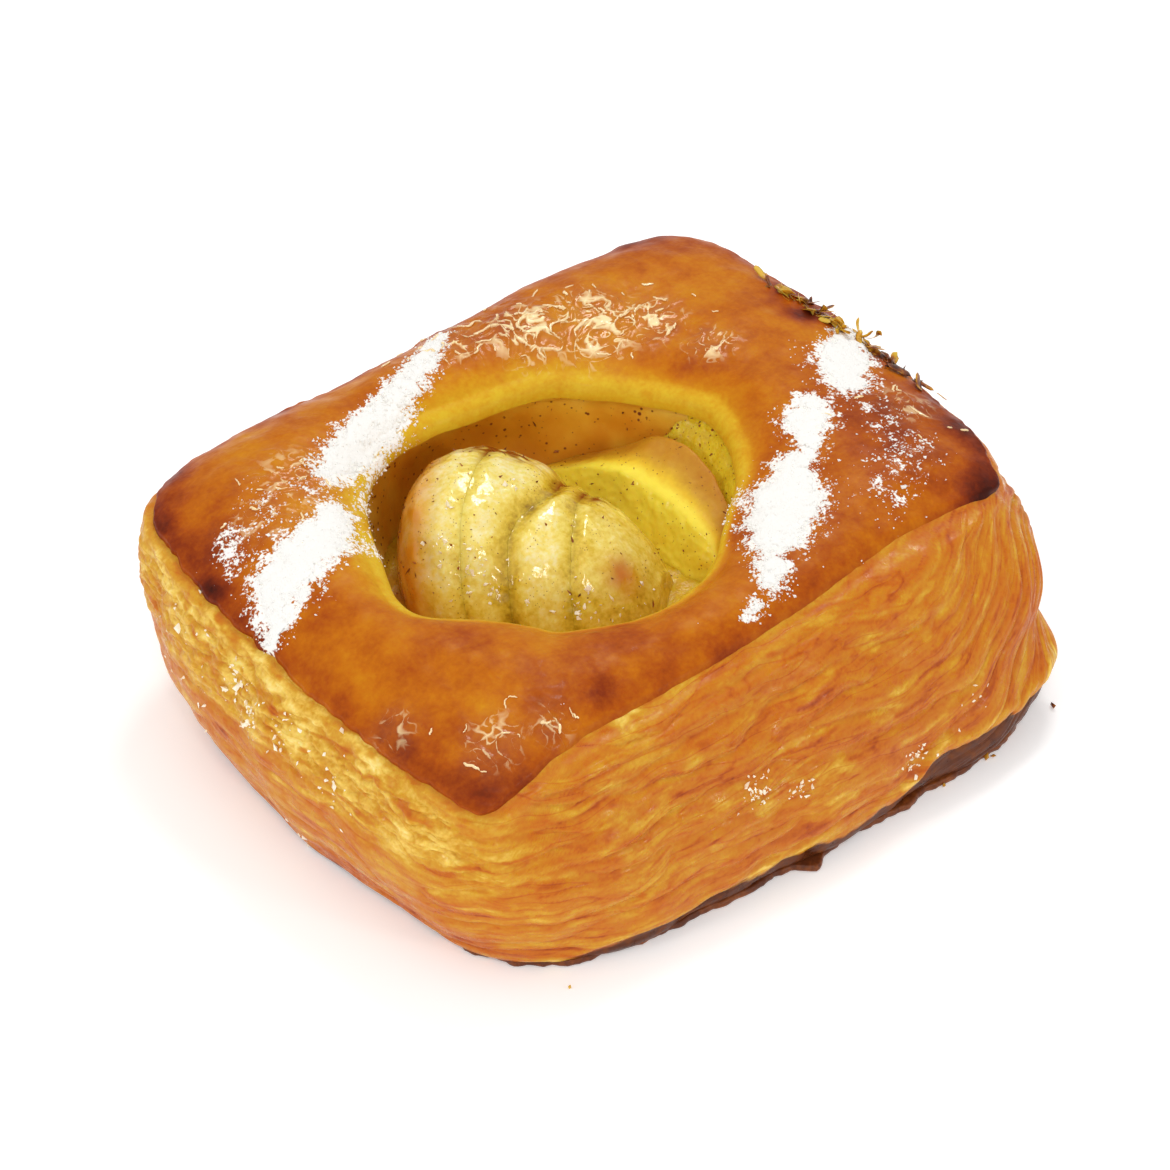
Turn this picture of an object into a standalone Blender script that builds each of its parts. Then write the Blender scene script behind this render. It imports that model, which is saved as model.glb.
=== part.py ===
"""A square danish pastry with a round well that holds custard and a sliced, peeled apple.

The laminated dough is one solid: a flat base, four bulging sides, a puffed top and a rolled lip
round the open well. Custard fills the well's floor and clings to its right wall. A halved apple
stands on the custard, sliced into four, and a wedge of apple lies along the right wall.

Lengths are in millimetres until an object is made. +X runs along the longer side, +Z is up, and
the origin is at the centre of the bounding box's underside. Corners are named as they are seen
from the front corner, which is at -X and -Y: left is at +Y, right is at +X, back is at both.
"""

import math

import bmesh
import bpy
import numpy as np
from mathutils import Vector

MM = 0.001
CLEARANCE = 0.3

# The dough's outline at its base and at its upper edge, and how high each upper corner rose.
BASE_CORNERS = {"left": (-51.5, 44.5), "front": (-51.0, -45.5), "right": (51.5, -50.5), "back": (51.5, 46.0)}
TOP_CORNERS = {"left": (-52.5, 54.0), "front": (-54.5, -37.5), "right": (54.5, -34.5), "back": (59.0, 53.5)}
CORNER_HEIGHTS = {"left": 32.5, "front": 29.0, "right": 33.5, "back": 35.5}
BASE_SQUARENESS = 7.0
TOP_SQUARENESS = 9.0
# How far the middle of each side stands proud of the line between its corners.
BASE_BOWS = {"-x": 6.0, "-y": 1.5, "+x": 0.0, "+y": 0.0}
TOP_BOWS = {"-x": 4.0, "-y": 4.0, "+x": 5.0, "+y": 1.0}
SIDE_SWELL = 3.8
BASE_ROUNDING = 3.0
TOP_ROUNDING = 2.2
PILLOW = 3.4

# The well: a round opening with a rolled lip over a wall that narrows towards its floor.
WELL_CENTRE = (-2.7, 8.2)
LIP_RADIUS = 29.3
LIP_HEIGHT = 35.0
LIP_ROLL = 2.4
# Where the lip bulges outwards or inwards: direction and half width in degrees, and amount.
LIP_BULGES = ((80, 27, -2.9), (5, 17, 2.8), (-52, 26, -4.2), (-130, 25, 1.0), (-167, 15, 4.0))
UNDERCUT = 0.9
WALL_TOP = 30.5
FLOOR_RADIUS = 25.0
WELL_FLOOR = 13.0

CUSTARD_LEVEL = 17.5
CUSTARD_BANK = 13.0
BANK_DIRECTION = math.radians(-12.0)
BANK_SPREAD = math.radians(42.0)
BANK_INNER_RADIUS = 22.5

# The halved apple's slices stand side by side across ROW_DIRECTION, and lean a little to the left.
ROW_DIRECTION = math.radians(-50.0)
SLICE_LEAN = math.radians(12.0)
# For each from left to right: where its foot begins and ends across the row, where its middle
# lies along it, half its length, its height, and how far its left and its right face round off.
SLICES = {
    "apple_slice_1": (-23.6, -10.8, 2.1, 17.1, 16.6, 8.7, 1.6),
    "apple_slice_2": (-10.5, -4.1, 3.0, 18.0, 17.1, 1.6, 2.2),
    "apple_slice_3": (-3.8, 5.3, 2.0, 16.4, 15.2, 2.2, 2.6),
    "apple_slice_4": (5.6, 16.6, -0.5, 12.8, 13.0, 1.8, 9.2),
}

# The wedge's cross-sections from its near end to its far end. Each is where it lies along Y, the
# ridge (x, z), the top of its round back (x, z), and how far forward its foot comes (x).
WEDGE = (
    (-14.8, (19.6, 20.4), (21.6, 22.0), 18.2),
    (-13.6, (19.0, 22.2), (22.6, 25.0), 16.6),
    (-9.5, (18.6, 24.2), (25.0, 28.2), 15.8),
    (-3.5, (18.6, 25.2), (26.4, 30.0), 16.0),
    (3.0, (18.8, 25.4), (26.4, 30.6), 16.2),
    (9.0, (19.6, 24.8), (25.0, 29.6), 16.8),
    (13.2, (20.4, 23.4), (23.0, 26.2), 17.8),
    (14.8, (20.8, 21.0), (21.8, 22.6), 19.4),
)

COLUMNS = 60
SLICE_SEGMENTS = 20

# From the middle of all the shapes to the middle of their common bounding box.
BOX_MIDDLE = (0.6, 2.5)


def smooth(x):
    """Rises from 0 to 1 with no slope at either end."""
    x = np.clip(x, 0.0, 1.0)
    return x * x * (3.0 - 2.0 * x)


def rounded_square(angles, squareness):
    """Points of the unit superellipse: a circle at squareness 2, nearly a square at 8."""
    c, s = np.cos(angles), np.sin(angles)
    reach = (np.abs(c) ** squareness + np.abs(s) ** squareness) ** (-1.0 / squareness)
    return c * reach, s * reach


def between_corners(corners, u, v):
    """The value at (u, v) of the unit square whose four corners hold the given values."""
    shares = {
        "left": (1 - u) * (1 + v) / 4,
        "front": (1 - u) * (1 - v) / 4,
        "right": (1 + u) * (1 - v) / 4,
        "back": (1 + u) * (1 + v) / 4,
    }
    return sum(np.multiply.outer(shares[name], np.asarray(corners[name], float)) for name in shares)


def outline(angles, corners, bows, squareness):
    """A four-cornered outline whose sides bow outwards, as an array of (x, y)."""
    u, v = rounded_square(angles, squareness)
    bow_x = np.where(u > 0, bows["+x"], -bows["-x"]) * np.abs(u) ** 4 * (1 - v * v)
    bow_y = np.where(v > 0, bows["+y"], -bows["-y"]) * np.abs(v) ** 4 * (1 - u * u)
    return between_corners(corners, u, v) + np.stack([bow_x, bow_y], axis=-1)


def outward(ring):
    """Unit vectors from the ring's middle to each of its points."""
    away = ring - ring.mean(axis=0)
    return away / np.linalg.norm(away, axis=1)[:, None]


def level(ring, height):
    """A flat or varying height added to a ring of (x, y)."""
    return np.column_stack([ring, np.broadcast_to(height, len(ring))])


def well_circle(angles, radius):
    return np.array(WELL_CENTRE) + radius * np.column_stack([np.cos(angles), np.sin(angles)])


def wall_radius(height):
    """The well's radius at a height between its floor and the top of its wall."""
    share = (height - WELL_FLOOR) / (WALL_TOP - WELL_FLOOR)
    return FLOOR_RADIUS + (LIP_RADIUS + UNDERCUT - FLOOR_RADIUS) * math.sin(math.pi / 2 * min(share, 1.0))


def side_rings(base, top, top_edge):
    """The base, rounded into the swelling sides, up to just under the top's edge."""
    away = outward(base)
    rings = [level(base * share, 0.0) for share in (0.45, 0.8)]
    for turn in (0.0, 0.5, 1.0):
        bend = math.pi / 2 * turn
        inset = BASE_ROUNDING * (1 - math.sin(bend))
        rings.append(level(base - away * inset, BASE_ROUNDING * (1 - math.cos(bend))))
    for share in np.linspace(0.2, 0.92, 6):
        swell = SIDE_SWELL * math.sin(math.pi * share) ** 0.8
        ring = base + (top - base) * share + away * swell
        height = BASE_ROUNDING + (top_edge - TOP_ROUNDING - BASE_ROUNDING) * share
        rings.append(level(ring, height))
    return rings


def lip_bulge(angles):
    """The extra radius of the lip, which isn't a true circle, as one column."""
    total = np.zeros(len(angles))
    for direction, half_width, amount in LIP_BULGES:
        away = (np.degrees(angles) - direction + 180.0) % 360.0 - 180.0
        total += amount * np.exp(-((away / half_width) ** 2))
    return total[:, None]


def wall_bulge(angles, height):
    """What the well's wall takes from the lip's bulge: nothing up to 24 mm, and 0.6 at its top."""
    return 0.6 * lip_bulge(angles) * np.clip((height - 24.0) / (WALL_TOP - 24.0), 0.0, 1.0)


def top_rings(angles, top, top_edge):
    """The rounded upper edge, and the puffed top from there to the lip of the well."""
    away = outward(top)
    rings = []
    for turn in (0.25, 0.6, 1.0):
        bend = math.pi / 2 * turn
        inset = TOP_ROUNDING * (1 - math.cos(bend))
        rings.append(level(top - away * inset, top_edge - TOP_ROUNDING * (1 - math.sin(bend))))
    edge = top - away * TOP_ROUNDING
    lip = well_circle(angles, LIP_RADIUS + LIP_ROLL + lip_bulge(angles))
    for share in (0.12, 0.28, 0.46, 0.64, 0.82, 1.0):
        height = top_edge + (LIP_HEIGHT - top_edge) * smooth(share) + PILLOW * math.sin(math.pi * share) ** 0.7
        rings.append(level(edge + (lip - edge) * share, height))
    return rings


def well_rings(angles):
    """The rolled lip, the wall under it and the floor."""
    rings = []
    for turn in (0.4, 0.75, 1.0, 1.35):
        bend = math.pi / 2 * turn
        radius = LIP_RADIUS + LIP_ROLL * (1 - math.sin(bend)) + lip_bulge(angles)
        rings.append(level(well_circle(angles, radius), LIP_HEIGHT - LIP_ROLL * (1 - math.cos(bend))))
    for height in (WALL_TOP, 24.0, 18.0, WELL_FLOOR + 1.0):
        rings.append(level(well_circle(angles, wall_radius(height) + wall_bulge(angles, height)), height))
    rings.append(level(well_circle(angles, FLOOR_RADIUS - 2.0), WELL_FLOOR))
    return rings


def custard_rings(angles):
    """The custard from its underside, up the well's wall and back over its banked surface."""
    off_bank = (angles - BANK_DIRECTION + math.pi) % math.tau - math.pi
    bank = CUSTARD_BANK * np.exp(-((off_bank / BANK_SPREAD) ** 4))
    under = WELL_FLOOR + CLEARANCE
    rings = [level(well_circle(angles, FLOOR_RADIUS - 3.0), under)]
    for share in (0.15, 0.5, 1.0):
        height = under + (CUSTARD_LEVEL - under + bank) * share
        radius = np.array([[wall_radius(h)] for h in height]) - 2 * CLEARANCE
        rings.append(level(well_circle(angles, radius + wall_bulge(angles, height[:, None])), height))
    rim = rings[-1][:, :2]
    inner = well_circle(angles, BANK_INNER_RADIUS)
    for share in (0.4, 0.75, 1.0):
        rings.append(level(rim + (inner - rim) * share, CUSTARD_LEVEL + bank * (1 - smooth(share))))
    rings.append(level(well_circle(angles, BANK_INNER_RADIUS / 2), CUSTARD_LEVEL))
    return rings


def slice_rings(begin, end, along, half_length, height, left_round, right_round):
    """Half ovals that stand on the custard, from a slice's left face to its right face."""
    foot = CUSTARD_LEVEL + CLEARANCE
    across = Vector((math.cos(ROW_DIRECTION), math.sin(ROW_DIRECTION), 0.0))
    row = Vector((-across.y, across.x, 0.0))
    turns = (0.0, 0.35, 0.7, 1.0)
    stations = [(begin + left_round * (1 - math.cos(t * math.pi / 2)), left_round, t) for t in turns]
    stations += [(end - right_round * (1 - math.cos(t * math.pi / 2)), right_round, t) for t in turns[::-1]]
    rings = []
    for station, rounding, turn in stations:
        loss = rounding * (1 - math.sin(turn * math.pi / 2))
        reach = half_length - min(1.0, 0.75 * half_length / rounding) * loss
        rise = height - min(1.0, 0.75 * height / rounding) * loss
        turns = np.linspace(0.0, math.pi, SLICE_SEGMENTS + 1)
        arc = [(reach * math.cos(a), rise * math.sin(a)) for a in turns]
        arc += [(-reach * share, 0.0) for share in (0.6, 0.2, -0.2, -0.6)]
        ring = []
        for away, up in arc:
            place = across * (station - math.tan(SLICE_LEAN) * up) + row * (along + away)
            ring.append((WELL_CENTRE[0] + place.x, WELL_CENTRE[1] + place.y, foot + up))
        rings.append(np.array(ring))
    return rings


def wedge_rings(grown_by=0.0):
    """The wedge's rounded cross-sections, grown outwards by a margin where one is asked for."""
    foot = CUSTARD_LEVEL + CLEARANCE
    rings = []
    for number, (y, ridge, back, front) in enumerate(WEDGE):
        if number in (0, len(WEDGE) - 1):
            y += math.copysign(grown_by, y)
        rear = min(back[0] + 1.2, math.sqrt(26.4**2 - y**2))
        mid_back = (max(back[0], rear) + 0.3, (back[1] + foot) / 2)
        corners = [(front, foot), (front + 0.3, foot + 0.8), ridge, back, mid_back, (rear, foot)]
        ring = []
        for i, here in enumerate(corners):
            before, after = corners[i - 1], corners[(i + 1) % len(corners)]
            for share, other in ((0.22, before), (0.04, before), (0.04, after), (0.22, after)):
                ring.append((here[0] + (other[0] - here[0]) * share, here[1] + (other[1] - here[1]) * share))
        ring = np.array(ring)
        ring += outward(ring) * grown_by * 1.6
        place = np.full(len(ring), WELL_CENTRE[1] + y)
        rings.append(np.column_stack([WELL_CENTRE[0] + ring[:, 0], place, ring[:, 1]]))
    return rings


def lofted(name, rings):
    """A closed object through the rings, from a fan at the first one to a fan at the last."""
    shape = bmesh.new()
    origin = Vector((*BOX_MIDDLE, 0.0))
    rows = [[shape.verts.new((Vector(point) - origin) * MM) for point in ring] for ring in rings]
    for lower, upper in zip(rows, rows[1:]):
        for i in range(len(lower)):
            j = (i + 1) % len(lower)
            shape.faces.new((lower[i], lower[j], upper[j], upper[i]))
    for row, ring, turned in ((rows[0], rings[0], True), (rows[-1], rings[-1], False)):
        pole = shape.verts.new((Vector(np.mean(ring, axis=0)) - origin) * MM)
        for i in range(len(row)):
            fan = (row[i], row[(i + 1) % len(row)], pole)
            shape.faces.new(fan[::-1] if turned else fan)
    bmesh.ops.recalc_face_normals(shape, faces=shape.faces)
    mesh = bpy.data.meshes.new(name)
    shape.to_mesh(mesh)
    shape.free()
    mesh.shade_smooth()
    mesh.set_sharp_from_angle(angle=math.radians(50))
    return bpy.data.objects.new(name, mesh)


def painted(thing, colour, roughness):
    """Gives the object a material of its own."""
    material = bpy.data.materials.new(thing.name)
    material.use_nodes = True
    shader = material.node_tree.nodes["Principled BSDF"]
    shader.inputs["Base Color"].default_value = (*colour, 1.0)
    shader.inputs["Roughness"].default_value = roughness
    shader.inputs["Metallic"].default_value = 0.0
    thing.data.materials.append(material)
    return thing


def cut_by(thing, cutter, cutters):
    """Cuts the cutter's shape out of the thing, and keeps the cutter out of sight."""
    cutter.hide_render = True
    cutter.display_type = "WIRE"
    cutters.objects.link(cutter)
    difference = thing.modifiers.new("cut_by_" + cutter.name, "BOOLEAN")
    difference.operation = "DIFFERENCE"
    difference.solver = "EXACT"
    difference.object = cutter


def build():
    for thing in list(bpy.data.objects):
        bpy.data.objects.remove(thing)
    parts = bpy.data.collections.new("danish_pastry")
    cutters = bpy.data.collections.new("cutters")
    bpy.context.scene.collection.children.link(parts)
    bpy.context.scene.collection.children.link(cutters)

    angles = np.linspace(0.0, math.tau, COLUMNS, endpoint=False)
    base = outline(angles, BASE_CORNERS, BASE_BOWS, BASE_SQUARENESS)
    top = outline(angles, TOP_CORNERS, TOP_BOWS, TOP_SQUARENESS)
    top_edge = between_corners(CORNER_HEIGHTS, *rounded_square(angles, TOP_SQUARENESS))
    rings = side_rings(base, top, top_edge) + top_rings(angles, top, top_edge) + well_rings(angles)
    parts.objects.link(painted(lofted("pastry_case", rings), (0.62, 0.28, 0.07), 0.35))

    custard = painted(lofted("custard", custard_rings(angles)), (0.80, 0.58, 0.08), 0.3)
    parts.objects.link(custard)
    cut_by(custard, lofted("wedge_pocket", wedge_rings(grown_by=CLEARANCE)), cutters)

    for name, sizes in SLICES.items():
        parts.objects.link(painted(lofted(name, slice_rings(*sizes)), (0.80, 0.68, 0.30), 0.3))
    wedge = lofted("apple_slice_5", wedge_rings())
    parts.objects.link(painted(wedge, (0.76, 0.60, 0.16), 0.3))


build()
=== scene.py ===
"""A square danish pastry with custard and sliced, peeled apple in its round well.

Working lengths are in millimetres and become metres when a mesh is made. +X runs along the longer
side and +Z is up. The corners are named as they are seen from the front corner, at -X and -Y:
left is at +Y, right is at +X, and back is at both.
"""

import itertools
import math

import bpy
import numpy as np
from mathutils import Matrix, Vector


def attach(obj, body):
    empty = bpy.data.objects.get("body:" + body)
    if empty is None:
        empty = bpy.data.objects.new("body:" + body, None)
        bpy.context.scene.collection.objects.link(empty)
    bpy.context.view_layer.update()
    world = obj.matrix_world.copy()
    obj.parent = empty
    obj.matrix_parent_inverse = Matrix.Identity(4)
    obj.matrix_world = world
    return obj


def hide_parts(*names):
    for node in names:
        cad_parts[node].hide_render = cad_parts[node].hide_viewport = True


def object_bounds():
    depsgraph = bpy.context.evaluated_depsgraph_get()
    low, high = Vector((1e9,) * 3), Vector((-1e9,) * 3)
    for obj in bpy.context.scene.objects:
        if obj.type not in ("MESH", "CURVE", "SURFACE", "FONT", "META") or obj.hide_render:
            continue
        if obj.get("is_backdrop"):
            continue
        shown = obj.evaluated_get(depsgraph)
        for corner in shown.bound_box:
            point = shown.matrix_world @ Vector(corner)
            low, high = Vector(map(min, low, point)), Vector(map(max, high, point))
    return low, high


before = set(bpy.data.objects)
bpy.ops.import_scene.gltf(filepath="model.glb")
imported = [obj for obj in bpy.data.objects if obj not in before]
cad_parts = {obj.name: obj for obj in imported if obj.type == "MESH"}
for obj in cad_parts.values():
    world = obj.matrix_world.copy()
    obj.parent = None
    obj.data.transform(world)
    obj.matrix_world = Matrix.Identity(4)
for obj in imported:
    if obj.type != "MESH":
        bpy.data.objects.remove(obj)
cad_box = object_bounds()

# ==================================
# The browned top. Laminated dough brushed with egg and glazed after baking: a thin, tough skin
# that has darkened along the edges and corners, stayed pale round the well, and wrinkled where
# the glaze pooled. It is puffed between the edge and the rolled lip of the well.

WELL = np.array([-3.3, 5.7])
LIP_RADIUS, LIP_HEIGHT, LIP_ROLL = 29.3, 35.0, 2.4
FLOOR_RADIUS, FLOOR_HEIGHT, WALL_TOP = 25.0, 13.0, 31.0
FOOT_ROLL, SIDE_SWELL, EDGE_ROLL, TOP_PUFF = 3.0, 3.8, 2.2, 3.4
BASE_CORNERS = {"left": (-52.1, 42.0), "front": (-51.6, -48.0), "right": (50.9, -53.0), "back": (50.9, 43.5)}
TOP_CORNERS = {"left": (-53.1, 51.5), "front": (-55.1, -40.0), "right": (53.9, -37.0), "back": (58.4, 51.0)}
EDGE_HEIGHTS = {"left": 32.5, "front": 29.0, "right": 33.5, "back": 35.5}
BASE_BOWS = {"-x": 6.0, "-y": 1.5, "+x": 0.0, "+y": 0.0}
TOP_BOWS = {"-x": 4.0, "-y": 4.0, "+x": 5.0, "+y": 1.0}
BASE_SQUARENESS, TOP_SQUARENESS = 7.0, 9.0
# Where the lip bulges outwards or inwards: direction and half width in degrees, and amount.
LIP_BULGES = [(80, 27, -2.9), (5, 17, 2.8), (-52, 26, -4.2), (-130, 25, 1.0), (-169, 17, 4.6)]


def rise(x, start=0.0, end=1.0):
    """0 before start, 1 after end, and 3x^2 - 2x^3 between them."""
    x = np.clip((x - start) / (end - start), 0.0, 1.0)
    return x * x * (3.0 - 2.0 * x)


def hump(x, width):
    """1 at zero, falling as a bell to nearly nothing at twice the width."""
    return np.exp(-((x / width) ** 2))


def unit(vectors):
    """The vectors at a length of 1."""
    return vectors / np.maximum(np.linalg.norm(vectors, axis=-1), 1e-9)[..., None]


def off(angles, degrees):
    """How far angles are from a direction, in degrees from -180 to 180."""
    return (np.degrees(angles) - degrees + 180.0) % 360.0 - 180.0


def noise(points, size, seed=0, octaves=1):
    """Gradient noise of about -1 to 1 at (..., 3) points, with features of the given size. Each
    further octave has half the size and half the strength."""
    points = np.asarray(points, float)
    total, strength = 0.0, 1.0
    for octave in range(octaves):
        spot = points / (size / 2**octave) + (seed * 3.7 + octave * 11.3)
        cell = np.floor(spot).astype(np.int64)
        part = spot - cell
        fade = part**3 * (part * (part * 6 - 15) + 10)
        for corner in itertools.product((0, 1), repeat=3):
            mixed = ((cell + corner) * (73856093, 19349663, 83492791)).sum(-1) + seed * 9176 + octave * 77
            mixed = (mixed ^ (mixed >> 13)) * 1274126177 & 0xFFFFFFFF
            mixed = (mixed ^ (mixed >> 15)) * 2246822519 & 0xFFFFFFFF
            slope = np.stack([(mixed >> shift & 1023) for shift in (2, 12, 22)], -1) / 511.5 - 1.0
            share = np.prod(np.where(corner, fade, 1.0 - fade), axis=-1)
            total = total + strength * share * (slope * (part - corner)).sum(-1)
        strength *= 0.5
    return total * 1.5


def flat_noise(across, along, size, seed=0, octaves=1):
    """Noise over two coordinates."""
    across, along = np.broadcast_arrays(across, along)
    return noise(np.stack([across, along, np.full(across.shape, seed * 1.37)], -1), size, seed, octaves)


def superellipse(turns, squareness):
    """Points of |x|^n + |y|^n = 1: a circle at n = 2, nearly a square at 8."""
    c, s = np.cos(turns), np.sin(turns)
    reach = (np.abs(c) ** squareness + np.abs(s) ** squareness) ** (-1.0 / squareness)
    return c * reach, s * reach


def between_corners(corners, u, v):
    """The corners' values blended at (u, v) of the square from -1 to 1."""
    shares = {
        "left": (1 - u) * (1 + v) / 4,
        "front": (1 - u) * (1 - v) / 4,
        "right": (1 + u) * (1 - v) / 4,
        "back": (1 + u) * (1 + v) / 4,
    }
    return sum(np.multiply.outer(shares[name], np.asarray(corners[name], float)) for name in shares)


def outline(turns, corners, bows, squareness):
    """A four-cornered outline: a superellipse laid between the corners, each side bowed outwards
    by its bow times one less the square of the distance from its middle."""
    u, v = superellipse(turns, squareness)
    bow_x = np.where(u > 0, bows["+x"], -bows["-x"]) * np.abs(u) ** 4 * (1 - v * v)
    bow_y = np.where(v > 0, bows["+y"], -bows["-y"]) * np.abs(v) ** 4 * (1 - u * u)
    return between_corners(corners, u, v) + np.stack([bow_x, bow_y], axis=-1)


def even_turns(count, start=0.0, end=math.tau, closed=True):
    """Turns whose points are evenly spaced along the top outline."""
    fine = np.linspace(start, end, 6001)
    steps = np.linalg.norm(np.diff(outline(fine, TOP_CORNERS, TOP_BOWS, TOP_SQUARENESS), axis=0), axis=1)
    walked = np.concatenate([[0.0], np.cumsum(steps)])
    return np.interp(np.linspace(0.0, walked[-1], count, endpoint=not closed), walked, fine)


def lip_bulge(around):
    """The extra radius of the lip, which isn't a true circle: a bell for each of LIP_BULGES."""
    total = 0.0
    for direction, half_width, amount in LIP_BULGES:
        total = total + amount * hump(off(around, direction), half_width)
    return total


def dough_rings(turns):
    """The dough's outer form as rings, from the foot of its sides over the top and down the well.
    The sides run from the base outline to the top outline and swell by a sine; the top rises to
    the lip by a smooth step with a sine's puff over it; the lip is a quarter roll and the well's
    wall a quarter sine."""
    base = outline(turns, BASE_CORNERS, BASE_BOWS, BASE_SQUARENESS)
    top = outline(turns, TOP_CORNERS, TOP_BOWS, TOP_SQUARENESS)
    edge = between_corners(EDGE_HEIGHTS, *superellipse(turns, TOP_SQUARENESS))
    from_base = unit(base - np.mean(list(BASE_CORNERS.values()), axis=0))
    from_top = unit(top - np.mean(list(TOP_CORNERS.values()), axis=0))
    round_well = np.column_stack([np.cos(turns), np.sin(turns)])
    bulge = lip_bulge(turns)[:, None]
    at_right = hump(np.linalg.norm(base - BASE_CORNERS["right"], axis=1), 15.0)[:, None]

    rings = []
    for bend in np.linspace(0.0, math.pi / 2, 6):
        rings.append((base - from_base * FOOT_ROLL * (1 - math.sin(bend)), FOOT_ROLL * (1 - math.cos(bend))))
    for share in np.linspace(0.03, 0.95, 34):
        swollen = base + (top - base) * share + from_base * SIDE_SWELL * math.sin(math.pi * share) ** 0.8
        flared = 1.6 * hump(share - 0.72, 0.2) - 1.8 * hump(share - 0.42, 0.12)
        flared += 2.2 * hump(share - 0.2, 0.16)
        height = FOOT_ROLL + (edge - (FOOT_ROLL + EDGE_ROLL)) * share
        rings.append((swollen + from_base * at_right * flared, height))
    for bend in np.linspace(0.15, 1.0, 6) * math.pi / 2:
        rounded = top - from_top * EDGE_ROLL * (1 - math.cos(bend))
        rings.append((rounded, edge - EDGE_ROLL * (1 - math.sin(bend))))
    inner, lip = top - from_top * EDGE_ROLL, WELL + round_well * (LIP_RADIUS + LIP_ROLL + bulge)
    for share in np.linspace(0.02, 1.0, 50):
        puffed = edge + (LIP_HEIGHT - edge) * rise(share) + TOP_PUFF * math.sin(math.pi * share) ** 0.7
        rings.append((inner + (lip - inner) * share, puffed))
    for bend in np.linspace(0.1, 1.35, 9) * math.pi / 2:
        radius = LIP_RADIUS + LIP_ROLL * (1 - math.sin(bend))
        rings.append((WELL + round_well * (radius + bulge), LIP_HEIGHT - LIP_ROLL * (1 - math.cos(bend))))
    for height in np.linspace(WALL_TOP, FLOOR_HEIGHT, 24):
        rings.append((WELL + round_well * (wall_radius(height) + wall_bulge(bulge, height)), height))
    return np.stack([np.column_stack([ring, np.broadcast_to(height, len(ring))]) for ring, height in rings])


def wall_radius(height):
    """The well's radius: 25 mm at its floor, growing by a quarter sine to 30.2 mm under the lip."""
    return FLOOR_RADIUS + 5.2 * np.sin(np.clip((height - FLOOR_HEIGHT) / 17.5, 0.0, 1.0) * math.pi / 2)


def wall_bulge(bulge, height):
    """What is left of the lip's bulge at a height of the wall: none from 24 mm down."""
    return 0.6 * bulge * np.clip((height - 24.0) / 6.5, 0.0, 1.0)


# How far each part of the form begins from the foot, walked up the sides and over the top.
lengths = np.linalg.norm(np.diff(dough_rings(even_turns(360)), axis=0), axis=2).mean(axis=1)
WALKED = np.concatenate([[0.0], np.cumsum(lengths)])
EDGE_WALK, LIP_WALK, FLOOR_WALK = WALKED[45], WALKED[95], WALKED[-1]


def on_dough(turns, walk):
    """Points of the dough's form at each turn (columns) and distance walked from the foot (rows),
    averaged over 1.4 mm of the walk so that every edge is soft."""
    rings = dough_rings(turns)
    walk = np.broadcast_to(walk, (walk.shape[0], len(turns)))
    columns = np.arange(len(turns))[None, :]
    total = 0.0
    for step, weight in ((-0.7, 0.12), (-0.35, 0.22), (0.0, 0.32), (0.35, 0.22), (0.7, 0.12)):
        place = np.interp(walk + step, WALKED, np.arange(len(WALKED)))
        low = np.minimum(place.astype(int), len(WALKED) - 2)
        share = (place - low)[..., None]
        total = total + weight * (rings[low, columns] * (1 - share) + rings[low + 1, columns] * share)
    return total


def facing(points, closed=True):
    """Unit normals of a grid: the cross product of its steps along columns and along rows."""
    if closed:
        along = np.roll(points, -1, axis=1) - np.roll(points, 1, axis=1)
    else:
        along = np.gradient(points, axis=1)
    return unit(np.cross(along, np.gradient(points, axis=0)))


def surface(name, points, closed=True, masks={}, keep=None):
    """A mesh object from a grid of points, with one face between each four neighbours. Masks are
    stored as attributes on its points, and keep leaves out the faces whose corner it denies."""
    rows, columns = points.shape[:2]
    index = np.arange(rows * columns).reshape(rows, columns)
    ahead = np.roll(index, -1, axis=1) if closed else index[:, 1:]
    here = index if closed else index[:, :-1]
    quads = np.stack([here[:-1], ahead[:-1], ahead[1:], here[1:]], axis=-1).reshape(-1, 4)
    points = points.reshape(-1, 3)
    masks = {key: np.broadcast_to(value, (rows, columns)).reshape(-1) for key, value in masks.items()}
    if keep is not None:
        quads = quads[keep.reshape(-1)[quads].all(axis=1)]
        used, quads = np.unique(quads, return_inverse=True)
        quads = quads.reshape(-1, 4)
        points = points[used]
        masks = {key: value[used] for key, value in masks.items()}
    return solid(name, points, quads, masks)


def solid(name, points, faces, masks={}, smooth=True):
    """A mesh object from points in millimetres and an array of faces with equal corner counts."""
    sides = faces.shape[1]
    mesh = bpy.data.meshes.new(name)
    mesh.vertices.add(len(points))
    mesh.vertices.foreach_set("co", (points * 0.001).astype(np.float32).reshape(-1))
    mesh.loops.add(faces.size)
    mesh.loops.foreach_set("vertex_index", faces.astype(np.int32).reshape(-1))
    mesh.polygons.add(len(faces))
    mesh.polygons.foreach_set("loop_start", np.arange(0, faces.size, sides, dtype=np.int32))
    mesh.update(calc_edges=True)
    mesh.validate()
    mesh.polygons.foreach_set("use_smooth", np.full(len(mesh.polygons), smooth))
    for key, value in masks.items():
        mesh.attributes.new(key, "FLOAT", "POINT").data.foreach_set("value", value.astype(np.float32))
    thing = bpy.data.objects.new(name, mesh)
    bpy.context.scene.collection.objects.link(thing)
    return thing


def spots(points, places):
    """The greatest of several bells on the plan view. Each place is (x, y, radius, strength)."""
    total = np.zeros(points.shape[:-1])
    for x, y, radius, strength in places:
        total = np.maximum(total, strength * hump(np.hypot(points[..., 0] - x, points[..., 1] - y), radius))
    return total


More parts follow.
